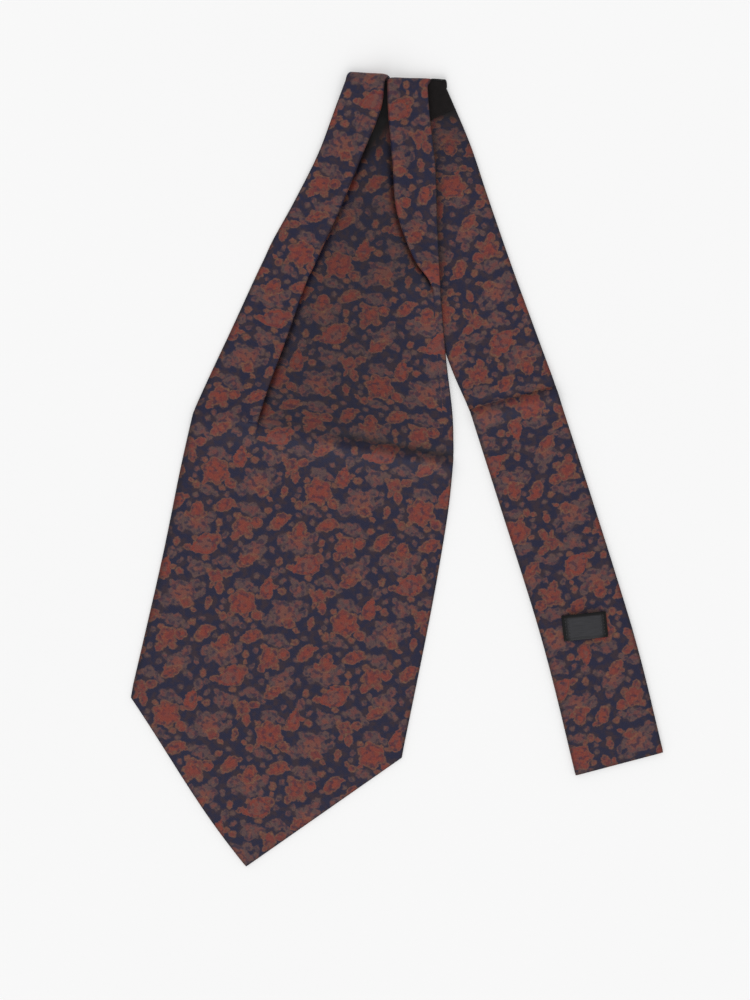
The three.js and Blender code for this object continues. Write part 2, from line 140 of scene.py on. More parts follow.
# Fainter painted shade: on the tail in front of the fold, and on the hollow middle panel down to
# these rows of the blade, fading out towards its right edge where neither pleat nor crease lies
# there
TAIL_SHADE, TAIL_SHADE_FROM = 0.3, (80.0, 28.0)
HOLLOW_SHADE, HOLLOW_ROWS, HOLLOW_EDGE, CREASE_ROWS = 0.22, (10.8, 10.2), 60.0, (9.0, 10.0)
# Close beside the pleats' folds the middle panel is painted in shade too, by this share over this
# width, beside the left one only below these rows
FOLD_SHADE, FOLD_SHADE_WIDTH, LEFT_FOLD_ROWS = 0.6, 8.0, (5.5, 7.5)
# The tail is painted in shade this far beside the blade's raised right edge, by this share, down
# to here
EDGE_SHADE, EDGE_SHADE_WIDTH, EDGE_SHADE_END = 0.45, 7.0, (70.0, 130.0)
# Share of the painted shade on the turned edges of the cloth
TURNED_EDGE_SHADE = 0.5
# The trough of the blade's storage crease is painted in shade: from, to, half width and its share
CREASE_SHADE = np.array([(-52, 25, 60, 3, 3.8, 0.55)])
# The crest of a side panel keeps at least this share of the panel's width clear on either side
LEAST_PANEL_SHARE = 0.1
# Least length of each stretch of a pleat's section, where it is pleated and at the blade's flat end
PLEATED_STEP, FLAT_STEP = 0.6, 6.0

# Columns of each stretch of a blade section; those of the middle panel crowd by this power towards
# the pleats
PANEL_COLUMNS, FOLD_COLUMNS, TUCK_COLUMNS, MIDDLE_COLUMNS = 9, 8, 7, 30
NEAR_PLEATS = 1.5
# Shares of a pleat's fold over which the outer ply of the neck roll passes into the inner ones
PLY_CHANGE = (0.35, 1.0)
# Columns across the tail
TAIL_COLUMNS = 31
# A turned edge round one ply: shares of its thickness from the top, how far out each of them stands,
# and the same for the groove between two plies
EDGE_LEVELS, EDGE_REACH, EDGE_GROOVE = (0.15, 0.5, 0.85), (0.72, 1.0, 0.72), 0.1
# Least length that anything is divided by
TINY = 1e-9

# Shares of a crease's length over which it rises at its start and dies out at its end
CREASE_START, CREASE_END = (-0.05, 0.25), (1.05, 0.8)
# Soft ridges and troughs pressed into the blade: from, to, half width and height
BLADE_CREASES = np.array([
    (-140, 34, 50, 0, 24.0, 1.6),
    (-136, 33, 46, -1, 8.0, 2.2),
    (-70, 20.5, 50, -1, 3.4, 1.4),
    (-52, 22.5, 52, 4, 3.2, -2.8),
    (-84, 26, -96, -44, 9.0, 0.7),
    (10, 62, 26, -40, 7.0, 0.6),
    (-30, 24, -38, -30, 12.0, 0.5),
    (-10, 20, -2, -24, 8.0, 0.45),
    (-118, 40, -146, -70, 6.0, 0.5),
    (-60, 96, -74, 40, 7.0, 0.5),
    (4, 120, 0, 60, 7.0, 0.5),
    (-20, 130, -26, 60, 9.0, 0.45),
    (-60, -120, -78, -205, 14.0, 0.5),
    (-130, -150, -104, -200, 10.0, 0.45),
    (-40, -196, -58, -212, 5.0, 0.7),
])

# The same for the tail: the storage crease with its small wrinkles, and the pinches that the
# keeper's stitches pull
TAIL_CREASES = np.array([
    (32, 33, 110, 52.5, 13.0, 1.4),
    (36, 30.5, 106, 48, 5.0, 1.8),
    (36, 37, 106, 54.5, 3.2, -1.9),
    (50, 46, 92, 60, 2.4, 0.35),
    (58, 33, 94, 43, 2.6, 0.35),
    (70, 49, 84, 40, 1.8, 0.3),
    (84, -91, 102, -99, 3.4, 0.55),
    (127, -92, 146, -101, 3.4, 0.55),
    (88, -99, 101, -104, 2.2, 0.4),
    (128, -86, 141, -84, 2.2, 0.4),
    (20, 150, 44, 90, 9.0, 0.35),
    (60, 10, 88, -60, 10.0, 0.35),
    (118, -130, 132, -176, 9.0, 0.35),
])
# Heights in plan between which the creases come in, down the blade and down the tail
BLADE_RELIEF, TAIL_RELIEF = (215.0, 150.0), (120.0, 60.0)
# Slow waves of cloth that was laid down by hand: their height on the blade and on the tail, and for
# each wave the millimetres to a radian across and down, its start and its share
BLADE_LYING, TAIL_LYING = 0.35, 0.3
LYING_WAVES = [(17.0, 41.0, 0.6, 1.0), (-37.0, 23.0, 2.1, 1.0), (9.7, 13.3, 4.0, 0.35)]

# How the printed cloth lies in each panel: a place, the turn of its grain in degrees, and the
# cloth's own coordinates at that place
GRAIN = {
    "lower": (-59.4, -105.0, 11.5, 0.0, 0.0),
    "left_top": (-31.7, 196.8, 22.0, -75.5, -317.5),
    "left_middle": (-65.6, 122.9, 26.0, -73.6, -232.4),
    "left_low": (-93.3, 61.3, 24.5, -74.5, -159.3),
    "middle_top": (-16.3, 141.4, 10.5, 8.5, -263.4),
    "middle_low": (-19.4, 61.3, 6.0, 15.9, -178.3),
    "right": (11.4, 196.8, -7.0, 66.7, -326.5),
}
# Heights on the blade between which one grain passes into the next
LEFT_GRAIN = [("left_top", 196.8), ("left_middle", 122.9), ("left_low", 61.3), ("lower", 20.0)]
MIDDLE_GRAIN = [("middle_top", 141.4), ("middle_low", 61.3), ("lower", 5.0)]
RIGHT_GRAIN = [("right", 165.0), ("middle_low", 92.0), ("lower", 5.0)]
# On the tail the cloth runs the other way: its coordinates where the strip crosses this row,
# and how much of it goes into a millimetre of the strip
TAIL_GRAIN_ROW, TAIL_GRAIN_ACROSS, TAIL_GRAIN_DOWN, TAIL_EASE = 7.75, 65.8, -131.2, 1.055

# One repeat of the print, charted: rust sprays, and muted flowers and buds between them.
# Each row is the kind, the place across and down, the turn, the half length, the half width and a
# flower's petals. A leaf is pointed at both ends, a drop at one, a bud is an oval.
RUST_MOTIFS = [
    ("leaf", 5.2, 6.6, -56, 8.2, 3.6),
    ("bud", 3.4, 9.4, -56, 4.4, 3.8),
    ("leaf", 9.8, 3.4, -20, 3.6, 1.6),
    ("leaf", 18.4, 9.8, -85, 7.4, 3.6),
    ("bud", 17.6, 13.4, 0, 4.8, 4.0),
    ("leaf", 13.2, 13.6, -150, 3.6, 1.7),
    ("leaf", 22.8, 12.0, -35, 3.8, 1.7),
    ("leaf", 34.4, 3.6, -32, 9.4, 3.5),
    ("bud", 30.6, 6.0, -30, 3.8, 2.7),
    ("leaf", 39.8, 2.6, 20, 3.4, 1.5),
    ("bud", 33.2, 15.0, 0, 2.4, 3.0),
    ("leaf", 33.6, 19.8, 80, 2.8, 1.2),
    ("flower", 47.6, 14.0, 20, 6.8, 7.4, 5),
    ("leaf", 55.8, 10.6, -12, 5.6, 3.2),
    ("leaf", 44.4, 21.0, 100, 4.8, 2.4),
    ("bud", 52.4, 18.8, 0, 3.2, 2.7),
    ("bud", 43.2, 8.6, 0, 2.8, 2.3),
    ("bud", 61.2, 2.0, -30, 3.0, 2.3),
    ("drop", 26.2, 30.8, 148, 11.2, 8.8),
    ("bud", 32.8, 25.2, 0, 4.4, 3.8),
    ("leaf", 17.4, 33.4, 165, 4.6, 1.9),
    ("bud", 20.8, 27.4, 0, 2.6, 2.1),
    ("bud", 29.4, 37.8, 0, 2.8, 2.1),
    ("bud", 9.8, 31.4, 10, 2.4, 3.2),
    ("leaf", 54.4, 34.8, 142, 9.4, 3.1),
    ("bud", 58.8, 31.4, 0, 3.0, 2.5),
    ("leaf", 50.8, 33.0, -100, 3.2, 1.4),
    ("drop", 5.9, 48.4, -86, 9.4, 5.8),
    ("bud", 15.0, 49.0, 0, 3.1, 2.5),
    ("leaf", 10.6, 47.2, -20, 3.4, 1.5),
    ("bud", 1.8, 55.0, 0, 2.6, 1.9),
    ("flower", 37.6, 47.6, 15, 5.6, 4.9, 4),
    ("leaf", 44.2, 44.6, -22, 5.8, 2.4),
    ("leaf", 41.2, 54.2, 72, 6.2, 2.5),
    ("bud", 32.8, 45.2, 0, 2.3, 2.0),
    ("leaf", 36.4, 53.4, 110, 3.6, 1.5),
    ("flower", 57.0, 60.6, 10, 9.8, 9.0, 6),
    ("leaf", 67.2, 66.2, 38, 5.6, 2.8),
    ("bud", 48.8, 55.0, 0, 2.5, 2.1),
    ("bud", 62.8, 70.0, 0, 2.8, 2.1),
    ("leaf", 51.2, 68.8, 130, 3.6, 1.5),
    ("flower", 23.0, 67.2, 10, 5.2, 4.0, 4),
    ("leaf", 28.4, 70.8, 25, 3.4, 1.4),
    ("leaf", 36.4, 64.2, 88, 5.0, 2.1),
    ("bud", 36.2, 67.8, 0, 1.7, 1.7),
    ("bud", 47.0, 71.0, 0, 2.9, 3.0),
    ("leaf", 43.2, 68.8, -150, 3.2, 1.3),
]
MUTED_MOTIFS = [
    ("flower", 18.8, 18.6, 8, 9.4, 6.4, 5),
    ("leaf", 8.8, 17.4, 120, 5.8, 2.6),
    ("leaf", 27.4, 13.0, -66, 6.2, 2.4),
    ("bud", 26.4, 20.6, 0, 2.7, 2.3),
    ("bud", 11.2, 23.0, 0, 2.5, 2.1),
    ("flower", 50.4, 3.0, 0, 6.8, 4.5, 5),
    ("leaf", 57.6, 5.2, 10, 4.0, 1.7),
    ("bud", 43.2, 2.2, 0, 2.3, 1.9),
    ("flower", 57.6, 28.0, -20, 8.4, 6.2, 5),
    ("leaf", 61.4, 20.2, -60, 5.2, 2.4),
    ("bud", 64.4, 33.8, 0, 2.7, 2.1),
    ("flower", 41.2, 37.4, 0, 5.6, 3.7, 4),
    ("leaf", 47.2, 39.6, 30, 3.8, 1.5),
    ("bud", 35.6, 39.2, 0, 2.1, 1.7),
    ("leaf", 8.2, 38.8, -90, 5.2, 2.4),
    ("bud", 12.6, 36.2, 0, 2.1, 1.8),
    ("flower", 25.0, 45.4, 20, 6.2, 5.6, 5),
    ("bud", 31.6, 43.0, 0, 3.3, 2.3),
    ("leaf", 20.4, 41.2, -130, 3.6, 1.5),
    ("flower", 20.2, 62.2, 0, 10.0, 8.8, 6),
    ("bud", 26.0, 54.6, 0, 3.7, 2.9),
    ("leaf", 13.0, 57.2, -140, 4.2, 1.8),
    ("leaf", 30.6, 60.2, -20, 4.4, 1.7),
    ("flower", 55.6, 49.4, 0, 6.8, 4.3, 5),
    ("leaf", 62.6, 50.8, 20, 4.2, 1.7),
    ("bud", 53.8, 72.8, 0, 4.5, 3.1),
    ("leaf", 59.4, 74.4, 15, 3.6, 1.5),
    ("flower", 10.6, 68.4, 0, 5.0, 4.3, 4),
    ("leaf", 4.8, 65.0, -150, 3.8, 1.6),
    ("bud", 38.6, 11.4, 0, 1.8, 2.0),
    ("bud", 38.2, 27.8, 20, 2.0, 1.6),
    ("bud", 46.0, 29.8, 0, 1.8, 2.0),
    ("bud", 15.8, 1.2, 0, 2.0, 1.7),
    ("bud", 24.8, 3.8, 0, 1.8, 1.8),
    ("bud", 2.6, 35.2, 0, 1.7, 1.9),
    ("bud", 31.4, 54.4, 0, 1.8, 1.7),
    ("bud", 45.4, 61.6, 0, 1.7, 1.9),
    ("bud", 2.2, 73.6, 0, 1.9, 1.7),
    ("bud", 34.4, 74.6, 0, 2.0, 1.6),
    ("bud", 64.0, 12.4, 0, 1.8, 1.6),
    ("bud", 12.8, 7.4, 0, 1.6, 1.6),
    ("leaf", 49.0, 41.6, -16, 3.4, 1.4),
    ("leaf", 14.4, 42.6, 130, 3.4, 1.3),
    ("leaf", 38.4, 21.6, 118, 3.6, 1.4),
    ("leaf", 48.6, 25.6, 62, 3.2, 1.4),
    ("bud", 62.4, 42.6, 0, 1.9, 1.7),
    ("leaf", 31.8, 58.4, 100, 3.2, 1.3),
    ("bud", 45.0, 65.8, 0, 1.8, 1.6),
    ("leaf", 4.0, 25.0, 60, 3.4, 1.4),
]
# How deep the petals are cut, how round a leaf is, how narrow and how full a drop's tip gets, and
# what turns the measure of an oval into a distance
PETAL_DEPTH, LEAF_ROUNDNESS, DROP_TIP, DROP_FULLNESS, OVAL_SCALE = 0.22, 1.5, 0.05, 2.0, 0.6
# How much of its charted length and width each kind is printed at
PRINTED = {"leaf": (0.77, 1.2), "drop": (0.82, 1.0), "bud": (1.0, 1.0), "flower": (0.9, 0.94)}
# The most that ink edges wander either way
INK_WANDER = 1.5

# The keeper loop's place along the tail in rows of its table, how many degrees it is sewn off
# square, its sloping ends and the step of its mesh
KEEPER_AT, KEEPER_OFF_SQUARE, KEEPER_SLOPE, KEEPER_STEP = 9.36, 9.2, 5.0, 0.7
# The ribbon's slack: a slow wave's height, millimetres to a radian and start, and how far and how
# sharply its edges turn down
RIBBON_WAVE, RIBBON_WAVE_RUN, RIBBON_WAVE_START = 0.18, 4.1, 0.7
RIBBON_EDGE_DROP, RIBBON_EDGE_SHARPNESS = 0.25, 6
# Stitches at each end of it: their number in a row, the rows' distances from the end, what a row
# leaves free of the width, half a stitch's length, its radius and how blunt its ends are
STITCHES_A_ROW, STITCH_ROWS, STITCH_MARGIN = 7, (1.6, 3.4), 1.6
STITCH_HALF_LENGTH, STITCH_RADIUS, STITCH_BLUNTNESS = 0.72, 0.24, 0.02
# Steps along a stitch, sides round it, the corners of the quads that close an end, and the
# millimetres of twist to a radian round the thread
STITCH_STEPS, STITCH_SIDES = 7, 8
STITCH_CAP = np.array([(0, 1, 2, 3), (0, 3, 4, 7), (4, 5, 6, 7)])
TWIST_ROUND = 1 / 12

# The lining patch, in rows along the tail and shares across it, and how far it goes on past the
# tail's end into the open lip of the neck roll
LINING_END, LINING_LEFT, LINING_RIGHT, LINING_STEPS = (0.54, 0.34), (0.77, 0.655), 0.985, 24
LIP_LINING, LIP_LINING_STEPS, LIP_LINING_RISE = 4.4, 6, 0.1

# Half the floor's width, how far it lies below the cravat, and where the key light comes from
FLOOR_REACH, FLOOR_DROP = 3000.0, 0.2
KEY_FROM = (-0.12, -1.0, 0.85)


def linear(hex_colour):
    """An sRGB hex colour as linear red, green and blue."""
    parts = [int(hex_colour[place:place + 2], 16) / 255 for place in (1, 3, 5)]
    return [c / 12.92 if c <= 0.04045 else ((c + 0.055) / 1.055) ** 2.4 for c in parts]


def length_property(name, description, millimetres):
    """A size of the cravat, in metres."""
    return bpy.props.FloatProperty(name=name, description=description, default=millimetres * MM,
                                   min=0.0, precision=5, unit="LENGTH", subtype="DISTANCE")


def colour_property(name, description, hex_colour):
    """A colour of the cravat or its stage."""
    return bpy.props.FloatVectorProperty(name=name, description=description, size=3, min=0, max=1,
                                         default=linear(hex_colour), subtype="COLOR")


class CravatCloth(bpy.types.PropertyGroup):
    """Thicknesses of the cloth, as in the part's solids."""

    blade_wall: length_property("Blade wall", "Silk, interlining and backing together", 1.2)
    tail_wall: length_property("Tail wall", "The tail's folded plies together", 2.0)
    ribbon_wall: length_property("Ribbon wall", "Keeper ribbon and lining patch", 1.0)
    ply_gap: length_property("Ply gap", "Air between the plies of a pleat", 0.5)
    rest_gap: length_property("Rest gap", "Air between the tail and the blade on it", 0.6)
    seam_gap: length_property("Seam gap", "Air under the keeper's and the lining's edges", 0.3)
    edge_round: length_property("Edge round", "How far a turned edge rounds out", 0.45)
    row_step: length_property("Row step", "Distance between the rows of the cloth's mesh", 1.9)


class CravatPrint(bpy.types.PropertyGroup):
    """Repeat and colours of the printed silk."""

    across: length_property("Repeat across", "Width of one repeat of the print", 64.3)
    down: length_property("Repeat down", "Distance between rows, each moved half a repeat", 76.1)
    wale: length_property("Twill wale", "Distance between the twill's diagonal ribs", 0.9)
    ground: colour_property("Ground", "Dark navy ground", "#1c1c35")
    shade: colour_property("Ground shade", "Browner patches of the ground", "#32252d")
    rust: colour_property("Rust", "Sprays of flowers and leaves", "#783f30")
    brick: colour_property("Brick", "Redder cores of the sprays", "#763129")
    muted: colour_property("Muted", "Mauve flowers between the sprays", "#5e4642")
    gold: colour_property("Gold", "Lighter touches and outlines of motifs", "#785d42")
    # Near-black that the print goes towards wherever shade is painted into it, deepest in the neck
    # fold
    inside: colour_property("Inside", "Cloth deep inside the neck fold", "#0d0b0c")


class CravatKeeper(bpy.types.PropertyGroup):
    """The black loop that holds the blade's end, and the lining patch."""

    length: length_property("Length", "Across the tail", 26.5)
    width: length_property("Width", "Of the ribbon", 15.0)
    clearance: length_property("Clearance", "Height of the loop's opening", 2.2)
    satin: colour_property("Satin", "Black satin ribbon", "#323235")
    thread: colour_property("Thread", "Sewing thread", "#1b1a1d")
    # The lining's near-black is its own colour and also stands in for the pocket's deep shade: painted
    # shade
    lining: colour_property("Lining", "Near-black lining cloth", "#120e0e")


class CravatStage(bpy.types.PropertyGroup):
    """Floor, light and camera."""

    floor: colour_property("Floor", "Pale paper that the cravat lies on", "#f9f9f9")
    camera_height: length_property("Camera height", "Above the floor", 1708.0)
    centre_x: bpy.props.FloatProperty(name="Centre X", description="Middle of the view",
                                      default=-0.0135, unit="LENGTH")
    centre_y: bpy.props.FloatProperty(name="Centre Y", description="Middle of the view",
                                      default=-0.0188, unit="LENGTH")
    lens: bpy.props.FloatProperty(name="Lens", description="Focal length", default=100.0,
                                  min=1.0, unit="CAMERA")
    key_strength: bpy.props.FloatProperty(name="Key", default=1.1, min=0.0,
                                          description="Wide soft light from the foot of the view")
    key_spread: bpy.props.FloatProperty(name="Key spread", default=math.radians(50), min=0.0,
                                        description="How wide the light is", subtype="ANGLE")
    sky: bpy.props.FloatProperty(name="Sky", description="Light from all round", default=0.765,
                                 min=0.0)
    glow: bpy.props.FloatProperty(name="Glow", default=0.3, min=0.0, max=1.0, subtype="FACTOR",
                                  description="Share of the floor's light that comes through it")


def mix(start, end, share):
    """A value between two others."""
    return start + (end - start) * share


def ease(value, start, end):
    """0 up to start, 1 from end on, and a smooth step between."""
    share = np.clip((np.asarray(value, float) - start) / (end - start), 0, 1)
    return share * share * (3 - 2 * share)


def unit(run):
    """The direction of a run, one long."""
    return run / np.linalg.norm(run)


def left_of(run):
    """The same run in plan, turned a quarter to the left."""
    return np.array((-run[1], run[0]))


def read_rows(rows, at):
    """The table's values at places between its rows, on a smooth curve with straight ends."""
    at = np.atleast_1d(np.asarray(at, float))
    low = np.clip(at.astype(int), 0, len(rows) - 2)
    share = (at - low)[:, None]
    first, last = (low == 0)[:, None], (low == len(rows) - 2)[:, None]
    before = rows[np.where(low == 0, low + 1, low - 1)]
    after = rows[np.where(low == len(rows) - 2, low, np.minimum(low + 2, len(rows) - 1))]
    pull_before = np.where(first, -0.5, 0.5)
    pull_after = np.where(last, -0.5, 0.5)
    square, cube = share ** 2, share ** 3
    return (before * pull_before * (2 * square - cube - share)
            + rows[low] * ((1 + pull_before) * cube - (1.5 + 2 * pull_before) * square
                           + (pull_before - 0.5) * share + 1)
            + rows[low + 1] * ((1.5 + pull_after) * square - (1 + pull_after) * cube + 0.5 * share)
            + after * pull_after * (cube - square))


def row_places(rows, step):
    """Places along a table that are about one step of cloth apart at the longer edge."""
    left = np.linalg.norm(np.diff(rows[:, 0:2], axis=0), axis=1)
    right = np.linalg.norm(np.diff(rows[:, 2:4], axis=0), axis=1)
    counts = np.ceil(np.maximum(left, right) / step).astype(int)
    starts = [index + np.arange(count) / count for index, count in enumerate(counts)]
    return np.append(np.concatenate(starts), len(rows) - 1)


def creased(place, creases):
    """Height of pressed ridges and troughs, or the depth of their painted shade, at places in plan."""
    height = np.zeros(len(place))
    for x0, y0, x1, y1, width, rise in creases:
        start, run = np.array((x0, y0)), np.array((x1 - x0, y1 - y0))
        share = (place - start) @ run / (run @ run)
        apart = np.linalg.norm(place - start - np.clip(share, 0, 1)[:, None] * run, axis=1)
        fade = ease(share, *CREASE_START) * ease(share, *CREASE_END)
        height += rise * fade * np.exp(-(apart / width) ** 2)
    return height


def lying(place, scale):
    """Slow unevenness of cloth that was laid down by hand, never below zero."""
    waves = sum(share * np.sin(place[:, 0] / across + place[:, 1] / down + start)
                for across, down, start, share in LYING_WAVES)
    return scale * (waves / sum(wave[3] for wave in LYING_WAVES) + 1) / 2


def grained(place, grain):
    """Cloth coordinates, in millimetres, of places on cloth that lies by one panel's grain."""
    x, y, turn, across, down = GRAIN[grain]
    cos, sin = math.cos(math.radians(turn)), math.sin(math.radians(turn))
    right, below = place[:, 0] - x, y - place[:, 1]
    return np.stack([across + cos * right + sin * below, down + cos * below - sin * right], axis=1)


def graded(place, grains):
    """Cloth coordinates where one grain passes into the next down the blade."""
    cloth = grained(place, grains[0][0])
    for (_, start), (grain, end) in zip(grains, grains[1:]):
        cloth = mix(cloth, grained(place, grain), ease(place[:, 1], start, end)[:, None])
    return cloth


def rise_over_tail(place, tail_height):
    """How high the tail lifts the blade: full over the tail, sloping off beside its left edge."""
    top = TAIL_ROWS[0, :2]
    run = unit(TAIL_ROWS[STRAIGHT_TAIL_ROWS, :2] - top)
    return tail_height * ease((place - top) @ left_of(run), -TAIL_SLOPE, 0)


def pleat(tuck, puff, least, cloth):
    """A pleat in section: how far along, how far down, the cloth used up to each point, how far
    its fold bulges sideways, and how much of its depth is the puff of the fold."""
    wall, gap = cloth.blade_wall / MM, cloth.ply_gap / MM
    radius = (wall + gap) / 2
    depth = max(tuck, 0)
    turn = math.pi * float(ease(depth, 0, FULL_TURN_TUCK))
    share = (np.arange(FOLD_COLUMNS) + 0.5) / FOLD_COLUMNS
    # The upper fold turns sharply at its top edge and slopes in to the tuck, as deep as half a
    # circle of its puffed radius
    fold = np.diff((np.arange(FOLD_COLUMNS + 1) / FOLD_COLUMNS) ** FOLD_SHARPNESS)
    drop = max(fold @ np.sin(turn * share), TINY)
    fold *= max((radius + puff) * (1 - math.cos(turn)) / drop, least)
    forward = np.cumsum(fold * np.cos(turn * share))
    edge = math.sin(min(turn, math.pi / 2))
    bulge = max(forward.max(), 0) * edge + wall / 2 * edge
    inner = depth + (radius + puff + wall / 2) * edge - bulge + min(forward[-1], 0)
    heading = np.concatenate([turn * share, np.full(TUCK_COLUMNS, turn), turn * (1 - share)])
    step = np.concatenate([fold, np.full(TUCK_COLUMNS, max(inner, least) / TUCK_COLUMNS),
                           np.full(FOLD_COLUMNS, max(radius * turn, least) / FOLD_COLUMNS)])
    walk = [np.concatenate([[0], np.cumsum(part)])
            for part in (step * np.cos(heading), step * np.sin(heading), step)]
    return walk[0], walk[1], walk[2], bulge, puff * (1 - math.cos(turn))


def middle_shade(at, row, along):
    """How much painted shade the middle panel gets, at places along one section of the blade."""
    width = np.linalg.norm(row[2:4] - row[0:2])
    left_panel, left_tuck, right_panel, right_tuck = row[4:8]
    left_turn, right_turn = (float(ease(tuck, 0, FULL_TURN_TUCK)) for tuck in (left_tuck, right_tuck))
    below = np.linalg.norm(BLADE_ROWS[0, 0:2] - row[0:2])
    off_left, off_right = along - left_panel, width - right_panel - along
    kept = HOLLOW_EDGE * (right_turn + float(ease(at, *CREASE_ROWS)))
    return np.max([
        ease(below + PANEL_SHADE_SLANT * np.maximum(off_left, 0), *PANEL_FOLD_SHADE),
        HOLLOW_SHADE * ease(at, *HOLLOW_ROWS) * ease(width - along + kept, 0, HOLLOW_EDGE),
        FOLD_SHADE * left_turn * ease(at, *LEFT_FOLD_ROWS) * ease(off_left, FOLD_SHADE_WIDTH, 0),
        FOLD_SHADE * right_turn * ease(off_right, FOLD_SHADE_WIDTH, 0),
    ], axis=0)


def blade_side(panel, tuck, puff, least, cloth):
    """One side of a blade section, from its edge over the side panel and round the pleat: how far
    along each point is, its lift, where it would lie if its panel ran on flat, and whether it
    belongs to the side panel."""
    along, down, used, bulge, puffed = pleat(tuck, puff, least, cloth)
    fold = panel - bulge
    inner = fold + along[-1]
    wall, gap = cloth.blade_wall / MM, cloth.ply_gap / MM
    clear = (wall + gap) / 2 + wall / 2 + gap
    crest = min(mix(fold, 0, LEAST_PANEL_SHARE), inner - clear)
    bend = max(crest, mix(0, fold, LEAST_PANEL_SHARE))
    flat = np.concatenate([np.linspace(start, end, PANEL_COLUMNS, endpoint=False)
                           for start, end in ((0, bend), (bend, fold))])
    lift = ((down[-1] - puffed) * ease(flat, crest - PLEAT_SLOPE, crest)
            + puffed * ease(flat, fold - PUFF_SLOPE, fold))
    # The tuck belongs half to the side panel and half to the middle one
    near = used < used[-1] / 2
    spread = np.where(near, fold + used, inner - used[-1] + used)
    return (np.concatenate([flat, fold + along]), np.concatenate([lift, down[-1] - down]),
            np.concatenate([flat, spread]), np.concatenate([np.ones(len(flat), bool), near]))


def blade_section(at, row, cloth):
    """One section of the blade: places in plan, lift off what it lies on, cloth coordinates, and
    how far along the section each place is."""
    left = row[0:2]
    width = np.linalg.norm(row[2:4] - left)
    run = unit(row[2:4] - left)
    left_panel, left_tuck, right_panel, right_tuck, puff, middle = row[4:10]
    right_puff = puff * float(ease(right_tuck, 0, RIGHT_PUFF_TUCK))
    sides = []
    for panel, tuck, side_puff, end in ((left_panel, left_tuck, puff, LEFT_PLEAT_END),
                                        (right_panel, right_tuck, right_puff, RIGHT_PLEAT_END)):
        least = mix(PLEATED_STEP, FLAT_STEP, float(ease(at, end, len(BLADE_ROWS) - 1)))
        sides.append(blade_side(panel, tuck, side_puff, least, cloth))
    middle_left, middle_right = sides[0][0][-1], width - sides[1][0][-1]
    on_left, left_lift, left_spread, left_own = (part[:-1] for part in sides[0])
    on_right, right_lift, right_spread, right_own = (part[::-1] for part in sides[1])
    # The middle panel's columns lie closer near the pleats, and one runs to the very point
    closer = (np.arange(MIDDLE_COLUMNS + 1) / MIDDLE_COLUMNS) ** NEAR_PLEATS
    on_middle = np.concatenate([mix(middle_left, middle, closer[:-1]),
                                mix(middle_right, middle, closer[:0:-1])])
    along = np.concatenate([on_left, on_middle, width - on_right])
    # The middle panel dips beside each pleat
    near = [ease(apart, mix(CROWN_FADE, CROWN_SLOPE, float(ease(tuck, 0, FULL_TURN_TUCK))), 0)
            for apart, tuck in ((on_middle - left_panel, left_tuck),
                                (width - right_panel - on_middle, right_tuck))]
    crown = (CROWN * float(ease(at, LEFT_PLEAT_END, CROWN_FULL_ROW))
             * float(ease(width - left_panel - right_panel, CROWN_FROM, CROWN_TO)))
    lift = np.concatenate([left_lift, crown * (1 - np.max(near, axis=0)), right_lift])
    spread = np.concatenate([left_spread, on_middle, width - right_spread])
    flat = left + spread[:, None] * run
    # Each point follows the grain of the left, the middle or the right panel
    owner = np.concatenate([np.where(left_own, 0, 1), np.ones(len(on_middle), int),
                            np.where(right_own, 2, 1)])
    woven = np.choose(owner[:, None], [graded(flat, grains)
                                       for grains in (LEFT_GRAIN, MIDDLE_GRAIN, RIGHT_GRAIN)])
    # Painted shade, on the middle panel alone
    dark = (owner == 1) * middle_shade(at, row, along)
    return left + along[:, None] * run, lift, np.column_stack([woven, dark]), along


def blade_surface(cloth):
    """Middle of the blade's cloth from the neck to the point, with its cloth coordinates."""
    wall = cloth.blade_wall / MM
    tail_height = (cloth.tail_wall + cloth.rest_gap) / MM
    step = cloth.row_step / MM
    places = row_places(BLADE_ROWS, step)
    rows, weave = [], []
    for at, row in zip(places, read_rows(BLADE_ROWS, places)):
        plan, lift, woven, along = blade_section(at, row, cloth)
        rows.append(np.column_stack([plan, lift]))
        weave.append(woven)
    # Below the last section the blade runs on to its corners and its point
    last, share = rows[-1], along / along[-1]
    point_share = BLADE_ROWS[-1, 9] / np.linalg.norm(BLADE_ROWS[-1, 2:4] - BLADE_ROWS[-1, 0:2])
    down = np.clip(share / point_share, 0, 1)
    bow = LEFT_BOW * np.sin(math.pi * down ** BOW_TOWARDS_POINT)
    to_left = (mix(LEFT_CORNER, POINT, down[:, None])
               - bow[:, None] * left_of(unit(POINT - LEFT_CORNER)))
    to_right = POINT + ((share - point_share) / (1 - point_share))[:, None] * (RIGHT_CORNER - POINT)
    edge = np.where((share < point_share)[:, None], to_left, to_right)
    count = int(np.ceil(np.linalg.norm(edge - last[:, :2], axis=1).max() / step))
    for index in range(1, count + 1):
        plan = mix(last[:, :2], edge, index / count)
        rows.append(np.column_stack([plan, last[:, 2]]))
        weave.append(np.column_stack([grained(plan, "lower"), np.zeros(len(plan))]))
    grid = np.array(rows)
    plan = grid[..., :2].reshape(-1, 2)
    relief = np.maximum(creased(plan, BLADE_CREASES) + lying(plan, BLADE_LYING), 0)
    relief *= ease(plan[:, 1], *BLADE_RELIEF)
    grid[..., 2] += (wall / 2 + rise_over_tail(plan, tail_height) + relief).reshape(grid.shape[:2])
    weave = np.array(weave)
    # The storage crease's trough gets painted shade
    weave[..., 2] = np.maximum(weave[..., 2], creased(plan, CREASE_SHADE).reshape(grid.shape[:2]))
    return grid, weave


def top_plies():
    """1 for the columns of the blade that go round the outside of the neck roll, 0 for the plies
    inside it, and a quick change round the pleats' folds."""
    turn = 1 - ease(np.arange(2 * FOLD_COLUMNS + TUCK_COLUMNS) / FOLD_COLUMNS, *PLY_CHANGE)
    panel = np.ones(2 * PANEL_COLUMNS)
    middle = np.zeros(2 * MIDDLE_COLUMNS + 1)
    return np.concatenate([panel, turn, middle, turn[::-1], panel])


